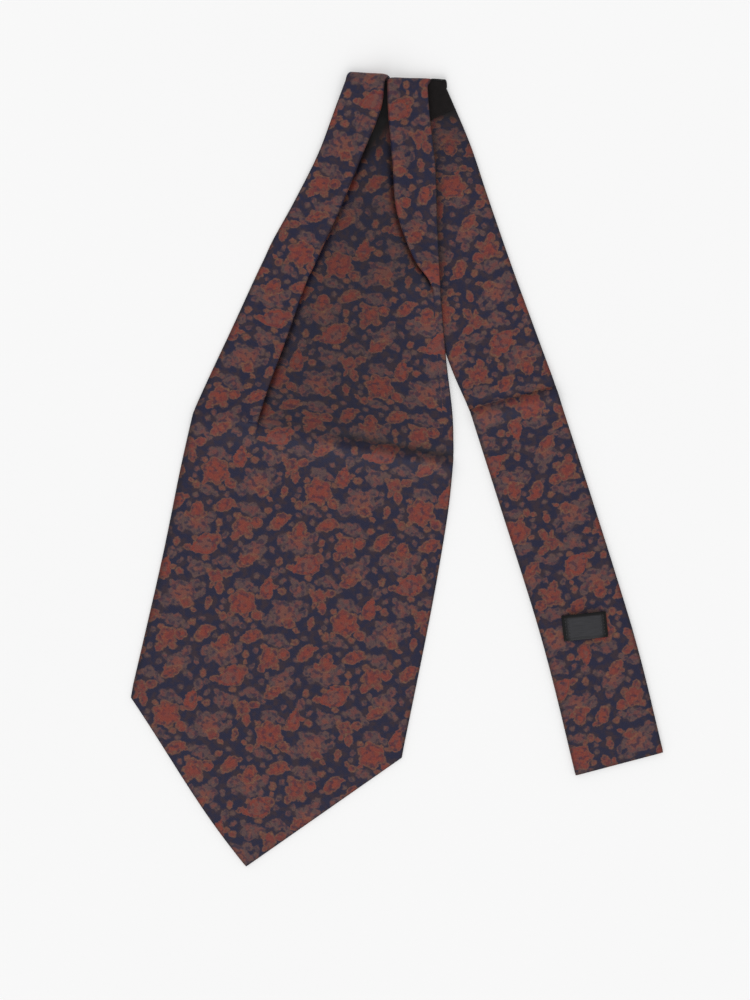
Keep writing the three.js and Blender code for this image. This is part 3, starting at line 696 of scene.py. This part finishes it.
def neck_roll(top, weave, cloth):
    """The top of the blade carried over the fold and down to the tail, and the open lip."""
    wall = cloth.blade_wall / MM
    over_left, over_right = BLADE_ROWS[0, 0:2], BLADE_ROWS[0, 2:4]
    width = np.linalg.norm(over_right - over_left)
    over_run = unit(over_right - over_left)
    under_left = TAIL_ROWS[0, 0:2]
    under_run = unit(TAIL_ROWS[0, 2:4] - under_left)
    past = left_of(under_run)
    seam = 2 * cloth.edge_round / MM
    lip = width + (NECK_ROWS[-1, 0] - width) * (np.arange(LIP_COLUMNS) + 1) / LIP_COLUMNS
    over = np.concatenate([(top[:, :2] - over_left) @ over_run, lip])
    high = np.concatenate([top[:, :2], over_left + lip[:, None] * over_run])
    height = np.concatenate([top[:, 2], np.full(LIP_COLUMNS, wall / 2 + LIP_HEIGHT)])
    under, bulge, wrap = (np.interp(over, NECK_ROWS[:, 0], NECK_ROWS[:, column])
                          for column in (1, 2, 3))
    # Plies that lie inside the roll turn tighter and stop part of the way round
    outer = np.concatenate([top_plies(), np.ones(LIP_COLUMNS)])
    stop = mix(INNER_STOP, 0, outer)
    bulge = bulge * mix(INNER_BULGE, 1, outer)
    depth = mix(INNER_DEPTH, height - wall / 2, outer)
    low = under_left + under[:, None] * under_run + seam * past
    low = mix(high, low, outer[:, None])
    panel_end = weave[-1] + np.zeros((LIP_COLUMNS, 1))
    panel_end[:, 0] += lip - width
    # The open lip's cloth is painted in the full near-black shade of the fold
    panel_end[:, 2] = 1
    woven = np.concatenate([weave, panel_end])
    on_left = np.arange(len(over)) < 2 * PANEL_COLUMNS + FOLD_COLUMNS + TUCK_COLUMNS
    slant = np.radians(np.where(on_left, LEFT_ROLL_TURN, RIGHT_ROLL_TURN))
    grain = np.column_stack([np.sin(slant), np.cos(slant), np.zeros(len(slant))])
    rows = []
    for share in np.linspace(1, 0, ROLL_STEPS + 1):
        angle = np.radians(mix(wrap, stop, share))
        rise = (1 - np.cos(angle)) / 2
        plan = mix(low, high, rise[:, None]) + (bulge * np.sin(angle))[:, None] * past
        rows.append(np.column_stack([plan, height - depth * (1 - rise)]))
    rows = np.array(rows)
    steps = np.linalg.norm(np.diff(rows, axis=0), axis=2)
    used = np.concatenate([np.cumsum(steps[::-1], axis=0)[::-1], np.zeros((1, len(over)))])
    return rows, woven - used[..., None] * grain


def grid_places(rows, columns):
    """Each row's value beside each column's, in the order of a grid's points."""
    return (part.ravel() for part in np.meshgrid(rows, columns, indexing="ij"))


def grid_faces(first, row_count, column_count):
    """Quads of a grid of points."""
    row, column = grid_places(np.arange(row_count - 1), np.arange(column_count - 1))
    corner = first + row * column_count + column
    return np.stack([corner, corner + column_count, corner + column_count + 1, corner + 1], axis=1)


def cloth_shell(name, middle, faces, half, weave, cloth, plies=1):
    """A closed piece of cloth round its middle surface, with rounded edges of one or more plies."""
    sides = middle[faces]
    across = np.cross(sides[:, 2] - sides[:, 0], sides[:, 3] - sides[:, 1])
    normal = np.zeros_like(middle)
    for corner in range(4):
        np.add.at(normal, faces[:, corner], across)
    normal /= np.maximum(np.linalg.norm(normal, axis=1), TINY)[:, None]
    half = np.broadcast_to(half, (len(middle),))[:, None]
    upper, lower = middle + normal * half, middle - normal * half
    lower[:, 2] = np.maximum(lower[:, 2], 0)
    edges = np.concatenate([faces[:, [corner, (corner + 1) % 4]] for corner in range(4)])
    known = set(map(tuple, edges))
    rim = np.array([edge for edge in edges if (edge[1], edge[0]) not in known])
    run = middle[rim[:, 1]] - middle[rim[:, 0]]
    outward = np.zeros_like(middle)
    for end in range(2):
        np.add.at(outward, rim[:, end], np.cross(run, normal[rim[:, end]]))
    on_rim = np.unique(rim)
    weave = weave.copy()
    # Turned edges get painted shade
    weave[on_rim, 2] = np.maximum(weave[on_rim, 2], TURNED_EDGE_SHADE)
    outward = outward[on_rim]
    outward /= np.maximum(np.linalg.norm(outward, axis=1), TINY)[:, None]
    # Round the edge: shares of the thickness down from the upper face, and how far out each stands
    around = []
    for ply in range(plies):
        around += [(ply / plies, EDGE_GROOVE)] * (ply > 0)
        around += [((ply + level) / plies, reach) for level, reach in zip(EDGE_LEVELS, EDGE_REACH)]
    points = [upper, lower]
    for level, reach in around:
        ring = mix(upper[on_rim], lower[on_rim], level)
        points.append(ring + outward * (reach * cloth.edge_round / MM))
    count = len(middle)
    slot = np.zeros(count, int)
    slot[on_rim] = np.arange(len(on_rim))
    rings = [rim] + [2 * count + level * len(on_rim) + slot[rim] for level in range(len(around))]
    rings.append(count + rim)
    skirt = [np.stack([above[:, 1], above[:, 0], below[:, 0], below[:, 1]], axis=1)
             for above, below in zip(rings, rings[1:])]
    quads = np.concatenate([faces, count + faces[:, ::-1], *skirt])
    coordinates = np.concatenate([weave, weave, *[weave[on_rim]] * len(around)])
    return mesh_piece(name, np.concatenate(points), quads, coordinates)


def mesh_piece(name, points, faces, weave):
    """A smooth mesh object from points in millimetres, with its cloth coordinates: across, down and
    how much painted shade each point gets."""
    mesh = bpy.data.meshes.new(name)
    mesh.from_pydata((points * MM).tolist(), [], faces.tolist())
    mesh.validate()
    mesh.polygons.foreach_set("use_smooth", np.ones(len(mesh.polygons), bool))
    attribute = mesh.attributes.new("cloth", "FLOAT_VECTOR", "POINT")
    attribute.data.foreach_set("vector", weave.astype(np.float32).ravel())
    piece = bpy.data.objects.new(name, mesh)
    bpy.context.collection.objects.link(piece)
    return piece


def tail_surface(at, share, cloth):
    """Upper face of the tail at places along its table and shares across it, in millimetres."""
    row = read_rows(TAIL_ROWS, at)
    plan = mix(row[:, 0:2], row[:, 2:4], np.asarray(share)[:, None])
    relief = np.maximum(creased(plan, TAIL_CREASES) + lying(plan, TAIL_LYING), 0)
    relief *= ease(plan[:, 1], *TAIL_RELIEF)
    return np.column_stack([plan, cloth.tail_wall / MM + relief])


def keeper_axes():
    """Middle of the keeper on the tail, and the directions across and along the tail."""
    row = read_rows(TAIL_ROWS, KEEPER_AT)[0]
    square, turn = unit(row[2:4] - row[0:2]), math.radians(KEEPER_OFF_SQUARE)
    across = math.cos(turn) * square - math.sin(turn) * left_of(square)
    return (row[0:2] + row[2:4]) / 2, across, -left_of(across)


def add(tree, kind, *values, out=0, named=None, **settings):
    """A node with its settings, each input linked to a socket or set; gives one of its outputs."""
    node = tree.nodes.new("ShaderNode" + kind)
    for setting, value in settings.items():
        setattr(node, setting, value)
    for key, value in [*enumerate(values), *(named or {}).items()]:
        if isinstance(value, bpy.types.NodeSocket):
            tree.links.new(value, node.inputs[key])
        else:
            node.inputs[key].default_value = value
    return node.outputs[out]


def new_material(name, **constants):
    """A material with one shader whose even values are set on its own sockets."""
    material = bpy.data.materials.new(name)
    material.use_nodes = True
    shader = material.node_tree.nodes["Principled BSDF"]
    for socket, value in constants.items():
        shader.inputs[socket.replace("_", " ").title().replace("Ior", "IOR")].default_value = value
    return material, material.node_tree, shader


def threads(tree, cloth, across, down):
    """Waves over the cloth, so many to a millimetre across it and down it."""
    waves = (2 * math.pi * across, 2 * math.pi * down, 0)
    phase = add(tree, "VectorMath", cloth, waves, operation="DOT_PRODUCT", out="Value")
    return add(tree, "Math", phase, operation="SINE")


def plain_finish(tree, shader, colour, tone, relief, strength):
    """Finishes cloth of one colour: lighter and darker by a tone, with its threads raised a little."""
    colour = add(tree, "Mix", named={0: 1.0, 6: (*colour, 1), 7: tone}, out=2, data_type="RGBA",
                 blend_type="MULTIPLY")
    tree.links.new(colour, shader.inputs["Base Color"])
    bump = add(tree, "Bump", named={"Strength": strength, "Distance": 0.1 * MM, "Height": relief})
    tree.links.new(bump, shader.inputs["Normal"])


def motif_distance(tree, place, motifs, across, down):
    """Millimetres to the edge of the nearest motif, below zero inside it."""
    skew = across / (2 * down)
    reach = np.array((across / 2, down / 2, 1))
    nearest, windows = None, {}
    for kind, u, v, turn, length, width, *petals in motifs:
        # Motifs in the same quarter of the repeat share one window on the endless print
        quarter = (round((u - skew * v) / across * 2), round(v / down * 2))
        if quarter not in windows:
            centre = np.array((quarter[0] * across / 2, quarter[1] * down / 2, 1))
            windows[quarter] = add(tree, "VectorMath", place, centre + reach, centre - reach,
                                   operation="WRAP")
        cos, sin = math.cos(math.radians(turn)), math.sin(math.radians(turn))
        length, width = length * PRINTED[kind][0], width * PRINTED[kind][1]
        axes = [np.array((cos, skew * cos + sin)) / length, np.array((-sin, cos - skew * sin)) / width]
        x, y = (add(tree, "VectorMath", windows[quarter],
                    (*axis, -float(axis @ (u - skew * v, v))), operation="DOT_PRODUCT", out="Value")
                for axis in axes)
        size = min(length, width)
        if kind == "leaf":
            side = add(tree, "Math", add(tree, "Math", y, operation="ABSOLUTE"), LEAF_ROUNDNESS,
                       operation="POWER")
        elif kind == "drop":
            room = add(tree, "Math", add(tree, "Math", 1.0, x, operation="SUBTRACT"), DROP_TIP,
                       operation="MAXIMUM")
            side = add(tree, "Math", add(tree, "Math", y, y, operation="MULTIPLY"), room,
                       operation="DIVIDE")
            side = add(tree, "Math", side, DROP_FULLNESS, operation="MULTIPLY")
        else:
            side = add(tree, "Math", y, y, operation="MULTIPLY")
            size *= OVAL_SCALE
        ratio = add(tree, "Math", x, x, side, operation="MULTIPLY_ADD")
        if petals:
            angle = add(tree, "Math", y, x, operation="ARCTAN2")
            lobes = add(tree, "Math", add(tree, "Math", angle, petals[0], operation="MULTIPLY"),
                        operation="COSINE")
            edge = add(tree, "Math", lobes, PETAL_DEPTH, 1.0, operation="MULTIPLY_ADD")
            ratio = add(tree, "Math", ratio, edge, operation="DIVIDE")
        apart = add(tree, "Math", ratio, size, -size, operation="MULTIPLY_ADD")
        nearest = apart if nearest is None else add(tree, "Math", nearest, apart,
                                                    operation="MINIMUM")
    return nearest


def printed_silk(look):
    """Silk twill, screen printed: a dark soft-lustred ground with slightly uneven ink edges.

    The twill gives a faint diagonal rib and a soft bloom of light at grazing angles.
    """
    material, tree, shader = new_material(
        "printed silk twill", roughness=0.6, ior=1.5, specular_ior_level=0.25,
        sheen_weight=0.04, sheen_roughness=0.45)
    shader.inputs["Sheen Tint"].default_value = (*linear("#b9aab4"), 1)
    cloth = add(tree, "Attribute", attribute_name="cloth", out="Vector")
    # Ink edges wander in waves about 2 mm long
    wander = add(tree, "TexNoise", named={"Vector": cloth, "Scale": 1 / 2.1, "Detail": 2.0},
                 out="Color")
    wander = add(tree, "VectorMath", wander, (2 * INK_WANDER, 2 * INK_WANDER, 0),
                 (-INK_WANDER, -INK_WANDER, 0), operation="MULTIPLY_ADD")
    place = add(tree, "VectorMath", cloth, wander, operation="ADD")
    across, down = look.across / MM, look.down / MM
    skewed = add(tree, "VectorMath", place, (1, -across / (2 * down), 0),
                 operation="DOT_PRODUCT", out="Value")
    straight = add(tree, "VectorMath", place, (0, 1, 0), operation="DOT_PRODUCT", out="Value")
    place = add(tree, "CombineXYZ", skewed, straight, 1.0)
    rust, muted = (motif_distance(tree, place, motifs, across, down)
                   for motifs in (RUST_MOTIFS, MUTED_MOTIFS))
    # What is uneven, by its size in millimetres: patches of dye, petals, mottled ink, single threads
    patches, petal, mottle, grain = (
        add(tree, "TexNoise", named={"Vector": cloth, "Scale": 1 / size, "Detail": detail})
        for size, detail in ((5.0, 3.0), (3.1, 1.0), (1.9, 2.0), (0.8, 1.0)))

    def line(distance, at):
        """Millimetres from the line that runs inside a motif's edge at some depth."""
        return add(tree, "Math", add(tree, "Math", distance, at, operation="ADD"),
                   operation="ABSOLUTE")

    def inside(field, slope, level, distance, depth):
        """Below zero where a field is past a level, and only deeper than this in a motif."""
        field = add(tree, "Math", field, slope, -slope * level, operation="MULTIPLY_ADD")
        edge = add(tree, "Math", distance, depth, operation="ADD")
        return add(tree, "Math", field, edge, operation="MAXIMUM")

    ground, shade, red, brick, dull, gold = (
        (*colour, 1) for colour in (look.ground, look.shade, look.rust, look.brick, look.muted,
                                    look.gold))
    # Inks in the order they are laid: the colour, the field that it follows, where it starts and where
    # it is full, and how well it covers
    inks = [
        (shade, patches, 0.42, 0.64, 0.9),
        (dull, muted, 0.8, -1.7, 0.95),
        (ground, line(muted, 1.9), 1.3, 0.2, 0.25),
        (gold, line(muted, 0.7), 0.8, 0.1, 0.12),
        (red, muted, -2.5, -3.3, 0.5),
        (brick, inside(patches, 9.0, 0.5, muted, 0.3), 0.4, -0.9, 0.4),
        (ground, inside(petal, -9.0, 0.53, muted, 0.3), 0.5, -1.0, 0.65),
        (red, rust, 0.3, -1.9, 0.98),
        (gold, inside(mottle, -9.0, 0.55, rust, 0.5), 0.3, -0.9, 0.6),
        (ground, line(rust, 2.1), 1.3, 0.2, 0.35),
        (gold, line(rust, 0.8), 0.9, 0.1, 0.26),
        (brick, rust, -2.4, -3.8, 0.7),
        (dull, rust, -4.6, -5.4, 0.6),
        (ground, inside(petal, -9.0, 0.53, rust, 1.0), 0.5, -1.0, 0.6),
        (brick, inside(patches, 9.0, 0.5, rust, 0.8), 0.4, -0.9, 0.6),
    ]
    colour = ground
    for over, field, start, full, strength in inks:
        cover = add(tree, "MapRange", field, start, full, 0.0, strength,
                    interpolation_type="SMOOTHSTEP")
        colour = add(tree, "Mix", named={0: cover, 6: colour, 7: over}, out=2, data_type="RGBA")
    # Thread by thread the ink takes unevenly
    tone = add(tree, "MapRange", grain, 0.3, 0.7, 0.84, 1.16)
    colour = add(tree, "Mix", named={0: 1.0, 6: colour, 7: tone}, out=2, data_type="RGBA",
                 blend_type="MULTIPLY")
    # Painted shade: by the cloth's third coordinate the print goes towards near-black in the neck
    # fold, beside the pleats, in the crease's trough, on the tail beside the blade and at turned edges
    depth = add(tree, "VectorMath", cloth, (0, 0, 1), operation="DOT_PRODUCT", out="Value")
    colour = add(tree, "Mix", named={0: depth, 6: colour, 7: (*look.inside, 1)}, out=2,
                 data_type="RGBA")
    tree.links.new(colour, shader.inputs["Base Color"])
    matt = add(tree, "MapRange", patches, 0.3, 0.7, 0.52, 0.68)
    tree.links.new(matt, shader.inputs["Roughness"])
    # Real wales lie 0.3 mm apart, too fine to show here, so they are drawn three times as coarse
    slant = 1 / (look.wale / MM * math.sqrt(2))
    wale = threads(tree, cloth, slant, slant)
    slub = add(tree, "Math", grain, 0.8, wale, operation="MULTIPLY_ADD")
    bump = add(tree, "Bump", named={"Strength": 0.25, "Distance": 0.12 * MM, "Height": slub})
    tree.links.new(bump, shader.inputs["Normal"])
    return material


def black_satin(look):
    """Polyester satin ribbon: black, with long smooth floats that catch the light in streaks, partly
    as sheen painted into its colour.
    """
    material, tree, shader = new_material(
        "woven black satin", roughness=0.4, ior=1.5, specular_ior_level=0.2,
        sheen_weight=0.02, sheen_roughness=0.4)
    cloth = add(tree, "Attribute", attribute_name="cloth", out="Vector")
    # Streaks run along the ribbon, about 0.4 mm apart and 8 mm long; they vary its roughness and, as
    # painted sheen, lighten and darken its colour
    streaked = add(tree, "VectorMath", cloth, (0.12, 2.4, 0.0), operation="MULTIPLY")
    streaks = add(tree, "TexNoise", named={"Vector": streaked, "Scale": 1.0, "Detail": 3.0})
    tone = add(tree, "MapRange", streaks, 0.25, 0.75, 0.7, 1.35)
    # The sewn-down ends, drawn in tight, and the turned-down edges are painted in shade: where each
    # darkens, in millimetres from the ribbon's middle, and the share of its light that is left
    side, down = (add(tree, "VectorMath", cloth, axis, operation="DOT_PRODUCT", out="Value")
                  for axis in ((1, 0, 0), (0, 1, 0)))
    side = add(tree, "Math", side, operation="ABSOLUTE")
    for place, start, end, dark in ((side, 9.0, 12.0, 0.1), (down, -5.2, -6.8, 0.1),
                                    (down, 5.0, 7.4, 0.5)):
        turned = add(tree, "MapRange", place, start, end, 1.0, dark,
                     interpolation_type="SMOOTHSTEP")
        tone = add(tree, "Math", tone, turned, operation="MULTIPLY")
    plain_finish(tree, shader, look.satin, tone, streaks, 0.3)
    shine = add(tree, "MapRange", streaks, 0.3, 0.7, 0.34, 0.5)
    tree.links.new(shine, shader.inputs["Roughness"])
    return material


def dark_lining(look):
    """Viscose lining, plain woven: near black, which also stands in for the deep shade of its pocket
    beside the neck fold, and almost without lustre.
    """
    material, tree, shader = new_material(
        "plain woven dark lining", roughness=0.8, ior=1.5, specular_ior_level=0.15,
        sheen_weight=0.03, sheen_roughness=0.6)
    cloth = add(tree, "Attribute", attribute_name="cloth", out="Vector")
    # Millimetres between threads, twice as coarse as real ones so that they show at all
    apart = 0.6
    weave = add(tree, "Math", threads(tree, cloth, 1 / apart, 0), threads(tree, cloth, 0, 1 / apart),
                operation="MULTIPLY")
    blotch = add(tree, "TexNoise", named={"Vector": cloth, "Scale": 1 / 4.0, "Detail": 2.0})
    tone = add(tree, "MapRange", blotch, 0.3, 0.7, 0.8, 1.25)
    plain_finish(tree, shader, look.lining, tone, weave, 0.3)
    return material


def sewing_thread(look):
    """Spun polyester thread: dark, twisted, with a slight lustre."""
    material, tree, shader = new_material("spun sewing thread", roughness=0.55, ior=1.5,
                                          sheen_weight=0.2, sheen_roughness=0.5)
    cloth = add(tree, "Attribute", attribute_name="cloth", out="Vector")
    # Two plies twisted, one turn in so many millimetres; the twist raises the thread and, as painted
    # shade, darkens its grooves in the colour
    turn = 0.5
    twist = threads(tree, cloth, 1 / turn, 1 / turn)
    tone = add(tree, "MapRange", twist, -1.0, 1.0, 0.75, 1.2)
    plain_finish(tree, shader, look.thread, tone, twist, 0.4)
    return material


def floor_paper(look):
    """Matt background paper: white, with a faint unevenness and no shine, lit through a little."""
    material, tree, shader = new_material("matt background paper", roughness=0.95,
                                          specular_ior_level=0.1, emission_strength=look.glow,
                                          emission_color=(*look.floor, 1))
    place = add(tree, "TexCoord", out="Object")
    fibre = add(tree, "TexNoise", named={"Vector": place, "Scale": 3.0, "Detail": 2.0})
    lit = 1 - look.glow
    tone = add(tree, "MapRange", fibre, 0.3, 0.7, 0.99 * lit, lit)
    colour = add(tree, "Mix", named={0: 1.0, 6: (*look.floor, 1), 7: tone}, out=2,
                 data_type="RGBA", blend_type="MULTIPLY")
    tree.links.new(colour, shader.inputs["Base Color"])
    return material


def printed_material():
    """The printed silk, made once for all the pieces that are cut from it."""
    return (bpy.data.materials.get("printed silk twill")
            or printed_silk(bpy.context.scene.cravat_print))


def settle(piece, material, slot, *nodes):
    """Gives a piece its material and its place in the part."""
    piece.data.materials.append(material)
    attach(piece, "root")
    if nodes:
        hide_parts(*nodes)


class CRAVAT_OT_blade(bpy.types.Operator):
    """Builds the pleated blade and the roll that carries it over the neck fold"""

    bl_idname = "cravat.blade"
    bl_label = "Blade and Neck Roll"

    def execute(self, context):
        cloth = context.scene.cravat_cloth
        grid, weave = blade_surface(cloth)
        roll, roll_weave = neck_roll(grid[0], weave[0], cloth)
        columns = grid.shape[1]
        lip_start = len(roll) * columns + (len(grid) - 1) * columns
        main = np.concatenate([roll[:, :columns], grid[1:]]).reshape(-1, 3)
        main_weave = np.concatenate([roll_weave[:, :columns], weave[1:]]).reshape(-1, 3)
        main_faces = grid_faces(0, len(roll) + len(grid) - 1, columns)
        lip = roll[:, columns:].reshape(-1, 3)
        lip_faces = grid_faces(lip_start, len(roll), LIP_COLUMNS)
        row = np.arange(len(roll) - 1)
        seam = np.stack([row * columns + columns - 1, (row + 1) * columns + columns - 1,
                         lip_start + (row + 1) * LIP_COLUMNS, lip_start + row * LIP_COLUMNS], axis=1)
        blade = cloth_shell(
            "cravat_blade", np.concatenate([main, lip]),
            np.concatenate([main_faces, lip_faces, seam]), cloth.blade_wall / MM / 2,
            np.concatenate([main_weave, roll_weave[:, columns:].reshape(-1, 3)]), cloth)
        settle(blade, printed_material(), "printed_silk", "front_blade", "neck_band")
        return {"FINISHED"}


class CRAVAT_OT_tail(bpy.types.Operator):
    """Builds the narrow tail that runs out from under the blade"""

    bl_idname = "cravat.tail"
    bl_label = "Tail"

    def execute(self, context):
        cloth = context.scene.cravat_cloth
        places = row_places(TAIL_ROWS, cloth.row_step / MM)
        shares = np.linspace(0, 1, TAIL_COLUMNS)
        ends = read_rows(TAIL_ROWS, places)
        at, share = grid_places(places, shares)
        upper = tail_surface(at, share, cloth)
        middle = upper * (1, 1, 0.5)
        centre = (ends[:, 0:2] + ends[:, 2:4]) / 2
        width = np.linalg.norm(ends[:, 2:4] - ends[:, 0:2], axis=1)
        used = np.concatenate([[0], np.cumsum(np.linalg.norm(np.diff(centre, axis=0), axis=1))])
        # Painted shade on the tail: near-black in the neck fold, fainter in front of it, and beside
        # the blade's raised right edge
        dark = np.maximum(ease(used, *TAIL_FOLD_SHADE), TAIL_SHADE * ease(used, *TAIL_SHADE_FROM))
        beside = upper[:, 0] - np.interp(upper[:, 1], BLADE_ROWS[::-1, 3], BLADE_ROWS[::-1, 2])
        shade = EDGE_SHADE * ease(beside, EDGE_SHADE_WIDTH, 0) * ease(upper[:, 1], *EDGE_SHADE_END)
        dark = np.maximum(np.repeat(dark, TAIL_COLUMNS), shade)
        used -= np.interp(TAIL_GRAIN_ROW, places, used)
        across = TAIL_GRAIN_ACROSS - (shares - 0.5) * width[:, None]
        down = np.repeat(TAIL_GRAIN_DOWN - TAIL_EASE * used, TAIL_COLUMNS)
        tail = cloth_shell(
            "cravat_tail", middle, grid_faces(0, len(places), TAIL_COLUMNS), middle[:, 2],
            np.column_stack([across.ravel(), down, dark]), cloth, plies=2)
        settle(tail, printed_material(), "printed_silk", "tail_strip")
        return {"FINISHED"}


class CRAVAT_OT_keeper(bpy.types.Operator):
    """Builds the black keeper loop across the tail and the stitches that hold its ends"""

    bl_idname = "cravat.keeper"
    bl_label = "Keeper Loop"

    def execute(self, context):
        cloth, look = context.scene.cravat_cloth, context.scene.cravat_keeper
        length, width = look.length / MM, look.width / MM
        low = (cloth.tail_wall + cloth.seam_gap + cloth.ribbon_wall / 2) / MM
        centre, across, along = keeper_axes()
        columns = np.linspace(-0.5, 0.5, int(length / KEEPER_STEP)) * length
        rows = np.linspace(-0.5, 0.5, int(width / KEEPER_STEP)) * width
        down, side = grid_places(rows, columns)
        # Slack ribbon: a long slow wave, and edges that turn down a little
        slack = (RIBBON_WAVE * np.sin(side / RIBBON_WAVE_RUN + RIBBON_WAVE_START)
                 - RIBBON_EDGE_DROP * (2 * np.abs(down) / width) ** RIBBON_EDGE_SHARPNESS)
        arch = ease(length / 2 - np.abs(side), 0, KEEPER_SLOPE) * (look.clearance / MM + slack)
        plan = centre + side[:, None] * across + down[:, None] * along
        ribbon = cloth_shell(
            "keeper_ribbon", np.column_stack([plan, low + arch]),
            grid_faces(0, len(rows), len(columns)), cloth.ribbon_wall / MM / 2,
            np.column_stack([side, down, np.zeros(len(side))]), cloth)
        settle(ribbon, black_satin(look), "black_satin", "keeper_loop")
        self.stitch(look, centre, across, along, low + cloth.ribbon_wall / MM / 2)
        return {"FINISHED"}

    def stitch(self, look, centre, across, along, height):
        """Rows of short stitches over both ends of the ribbon."""
        length, width = look.length / MM, look.width / MM
        ring = np.linspace(0, 2 * math.pi, STITCH_SIDES, endpoint=False)
        spine = np.linspace(-1, 1, STITCH_STEPS)
        thick = STITCH_RADIUS * np.sqrt(np.maximum(1 - spine ** 2, STITCH_BLUNTNESS))
        count = STITCH_STEPS * STITCH_SIDES
        step, side = grid_places(np.arange(STITCH_STEPS - 1) * STITCH_SIDES, np.arange(STITCH_SIDES))
        after = (side + 1) % STITCH_SIDES
        tube = np.stack([step + side, step + after, step + STITCH_SIDES + after,
                         step + STITCH_SIDES + side], axis=1)
        quads = np.concatenate([tube, STITCH_CAP[:, ::-1], count - STITCH_SIDES + STITCH_CAP])
        points, faces, weave = [], [], []
        for end in (-1, 1):
            for inset in STITCH_ROWS:
                rise = look.clearance / MM * float(ease(inset, 0, KEEPER_SLOPE))
                middle = centre + end * (length / 2 - inset) * across
                for place in (np.arange(STITCHES_A_ROW) + 0.5) / STITCHES_A_ROW - 0.5:
                    run = place * (width - STITCH_MARGIN) + spine * STITCH_HALF_LENGTH
                    plan = middle + run[:, None] * along
                    body = [np.column_stack([plan + (thick * math.cos(angle))[:, None] * across,
                                             height + rise + thick * math.sin(angle)])
                            for angle in ring]
                    faces.append(len(points) * count + quads)
                    points.append(np.stack(body, axis=1).reshape(-1, 3))
                    weave.append(np.column_stack([np.repeat(run, STITCH_SIDES),
                                                  np.tile(ring * TWIST_ROUND, STITCH_STEPS),
                                                  np.zeros(count)]))
        stitches = mesh_piece("keeper_stitches", *map(np.concatenate, (points, faces, weave)))
        settle(stitches, sewing_thread(look), "black_satin")


class CRAVAT_OT_lining(bpy.types.Operator):
    """Builds the dark lining patch that shows beside the right end of the neck fold; its near-black
    also stands in for the pocket's deep shade
    """

    bl_idname = "cravat.lining"
    bl_label = "Neck Lining"

    def execute(self, context):
        cloth, look = context.scene.cravat_cloth, context.scene.cravat_keeper
        turned = np.linspace(LIP_LINING, 0, LIP_LINING_STEPS, endpoint=False)
        steps = np.linspace(0, 1, LINING_STEPS)
        rows = np.concatenate([np.zeros(len(turned)), steps])
        beyond = np.repeat(np.concatenate([turned, np.zeros(LINING_STEPS)]), LINING_STEPS)
        down, side = grid_places(rows, steps)
        share = mix(mix(*LINING_LEFT, down), LINING_RIGHT, side)
        upper = tail_surface(mix(*LINING_END, side) * down, share, cloth)
        upper[:, :2] += beyond[:, None] * left_of(unit(TAIL_ROWS[0, 2:4] - TAIL_ROWS[0, 0:2]))
        upper[:, 2] += (cloth.seam_gap + cloth.ribbon_wall / 2) / MM + LIP_LINING_RISE * beyond
        patch = cloth_shell(
            "lining_patch", upper, grid_faces(0, len(rows), LINING_STEPS),
            cloth.ribbon_wall / MM / 2, upper * (1, 1, 0), cloth)
        settle(patch, dark_lining(look), "dark_lining", "neck_lining")
        return {"FINISHED"}


class CRAVAT_OT_stage(bpy.types.Operator):
    """Lays out the floor, the soft key light, the sky and the camera that looks straight down"""

    bl_idname = "cravat.stage"
    bl_label = "Stage"

    def execute(self, context):
        look = context.scene.cravat_stage
        corners = np.array([(-1, -1, 0), (1, -1, 0), (1, 1, 0), (-1, 1, 0)]) * FLOOR_REACH
        floor = mesh_piece("floor", corners - (0, 0, FLOOR_DROP), np.array([(0, 1, 2, 3)]), corners)
        floor.data.materials.append(floor_paper(look))
        data = bpy.data.lights.new("key_light", "SUN")
        data.energy, data.angle = look.key_strength, look.key_spread
        lamp = bpy.data.objects.new("key_light", data)
        lamp.location = KEY_FROM
        lamp.rotation_euler = (-lamp.location).to_track_quat("-Z", "Y").to_euler()
        context.collection.objects.link(lamp)
        world = bpy.data.worlds.new("studio")
        world.use_nodes = True
        world.node_tree.nodes["Background"].inputs["Color"].default_value = (1, 1, 1, 1)
        world.node_tree.nodes["Background"].inputs["Strength"].default_value = look.sky
        context.scene.world = world
        data = bpy.data.cameras.new("camera")
        data.lens = look.lens
        camera = bpy.data.objects.new("camera", data)
        camera.location = (look.centre_x, look.centre_y, look.camera_height)
        context.collection.objects.link(camera)
        context.scene.camera = camera
        context.scene.view_settings.view_transform = "Standard"
        return {"FINISHED"}


class CRAVAT_PT_panel(bpy.types.Panel):
    """The cravat's pieces and what may be changed on them"""

    bl_idname = "CRAVAT_PT_panel"
    bl_label = "Silk Cravat"
    bl_space_type = "VIEW_3D"
    bl_region_type = "UI"
    bl_category = "Cravat"

    def draw(self, context):
        for step in STEPS:
            self.layout.operator(step.bl_idname)
        for name, group in GROUPS.items():
            box = self.layout.box()
            box.label(text=group.__doc__)
            for setting in group.__annotations__:
                box.prop(getattr(context.scene, name), setting)


GROUPS = {"cravat_cloth": CravatCloth, "cravat_print": CravatPrint,
          "cravat_keeper": CravatKeeper, "cravat_stage": CravatStage}
STEPS = [CRAVAT_OT_blade, CRAVAT_OT_tail, CRAVAT_OT_keeper, CRAVAT_OT_lining, CRAVAT_OT_stage]


def register():
    for group in GROUPS.values():
        bpy.utils.register_class(group)
    for step in [*STEPS, CRAVAT_PT_panel]:
        bpy.utils.register_class(step)
    for name, group in GROUPS.items():
        setattr(bpy.types.Scene, name, bpy.props.PointerProperty(type=group))


def unregister():
    for name in GROUPS:
        delattr(bpy.types.Scene, name)
    for made in [CRAVAT_PT_panel, *STEPS, *GROUPS.values()]:
        bpy.utils.unregister_class(made)


def main():
    register()
    bpy.ops.cravat.stage()
    bpy.ops.cravat.tail()
    bpy.ops.cravat.blade()
    bpy.ops.cravat.keeper()
    bpy.ops.cravat.lining()
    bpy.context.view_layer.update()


if __name__ == "__main__":
    main()
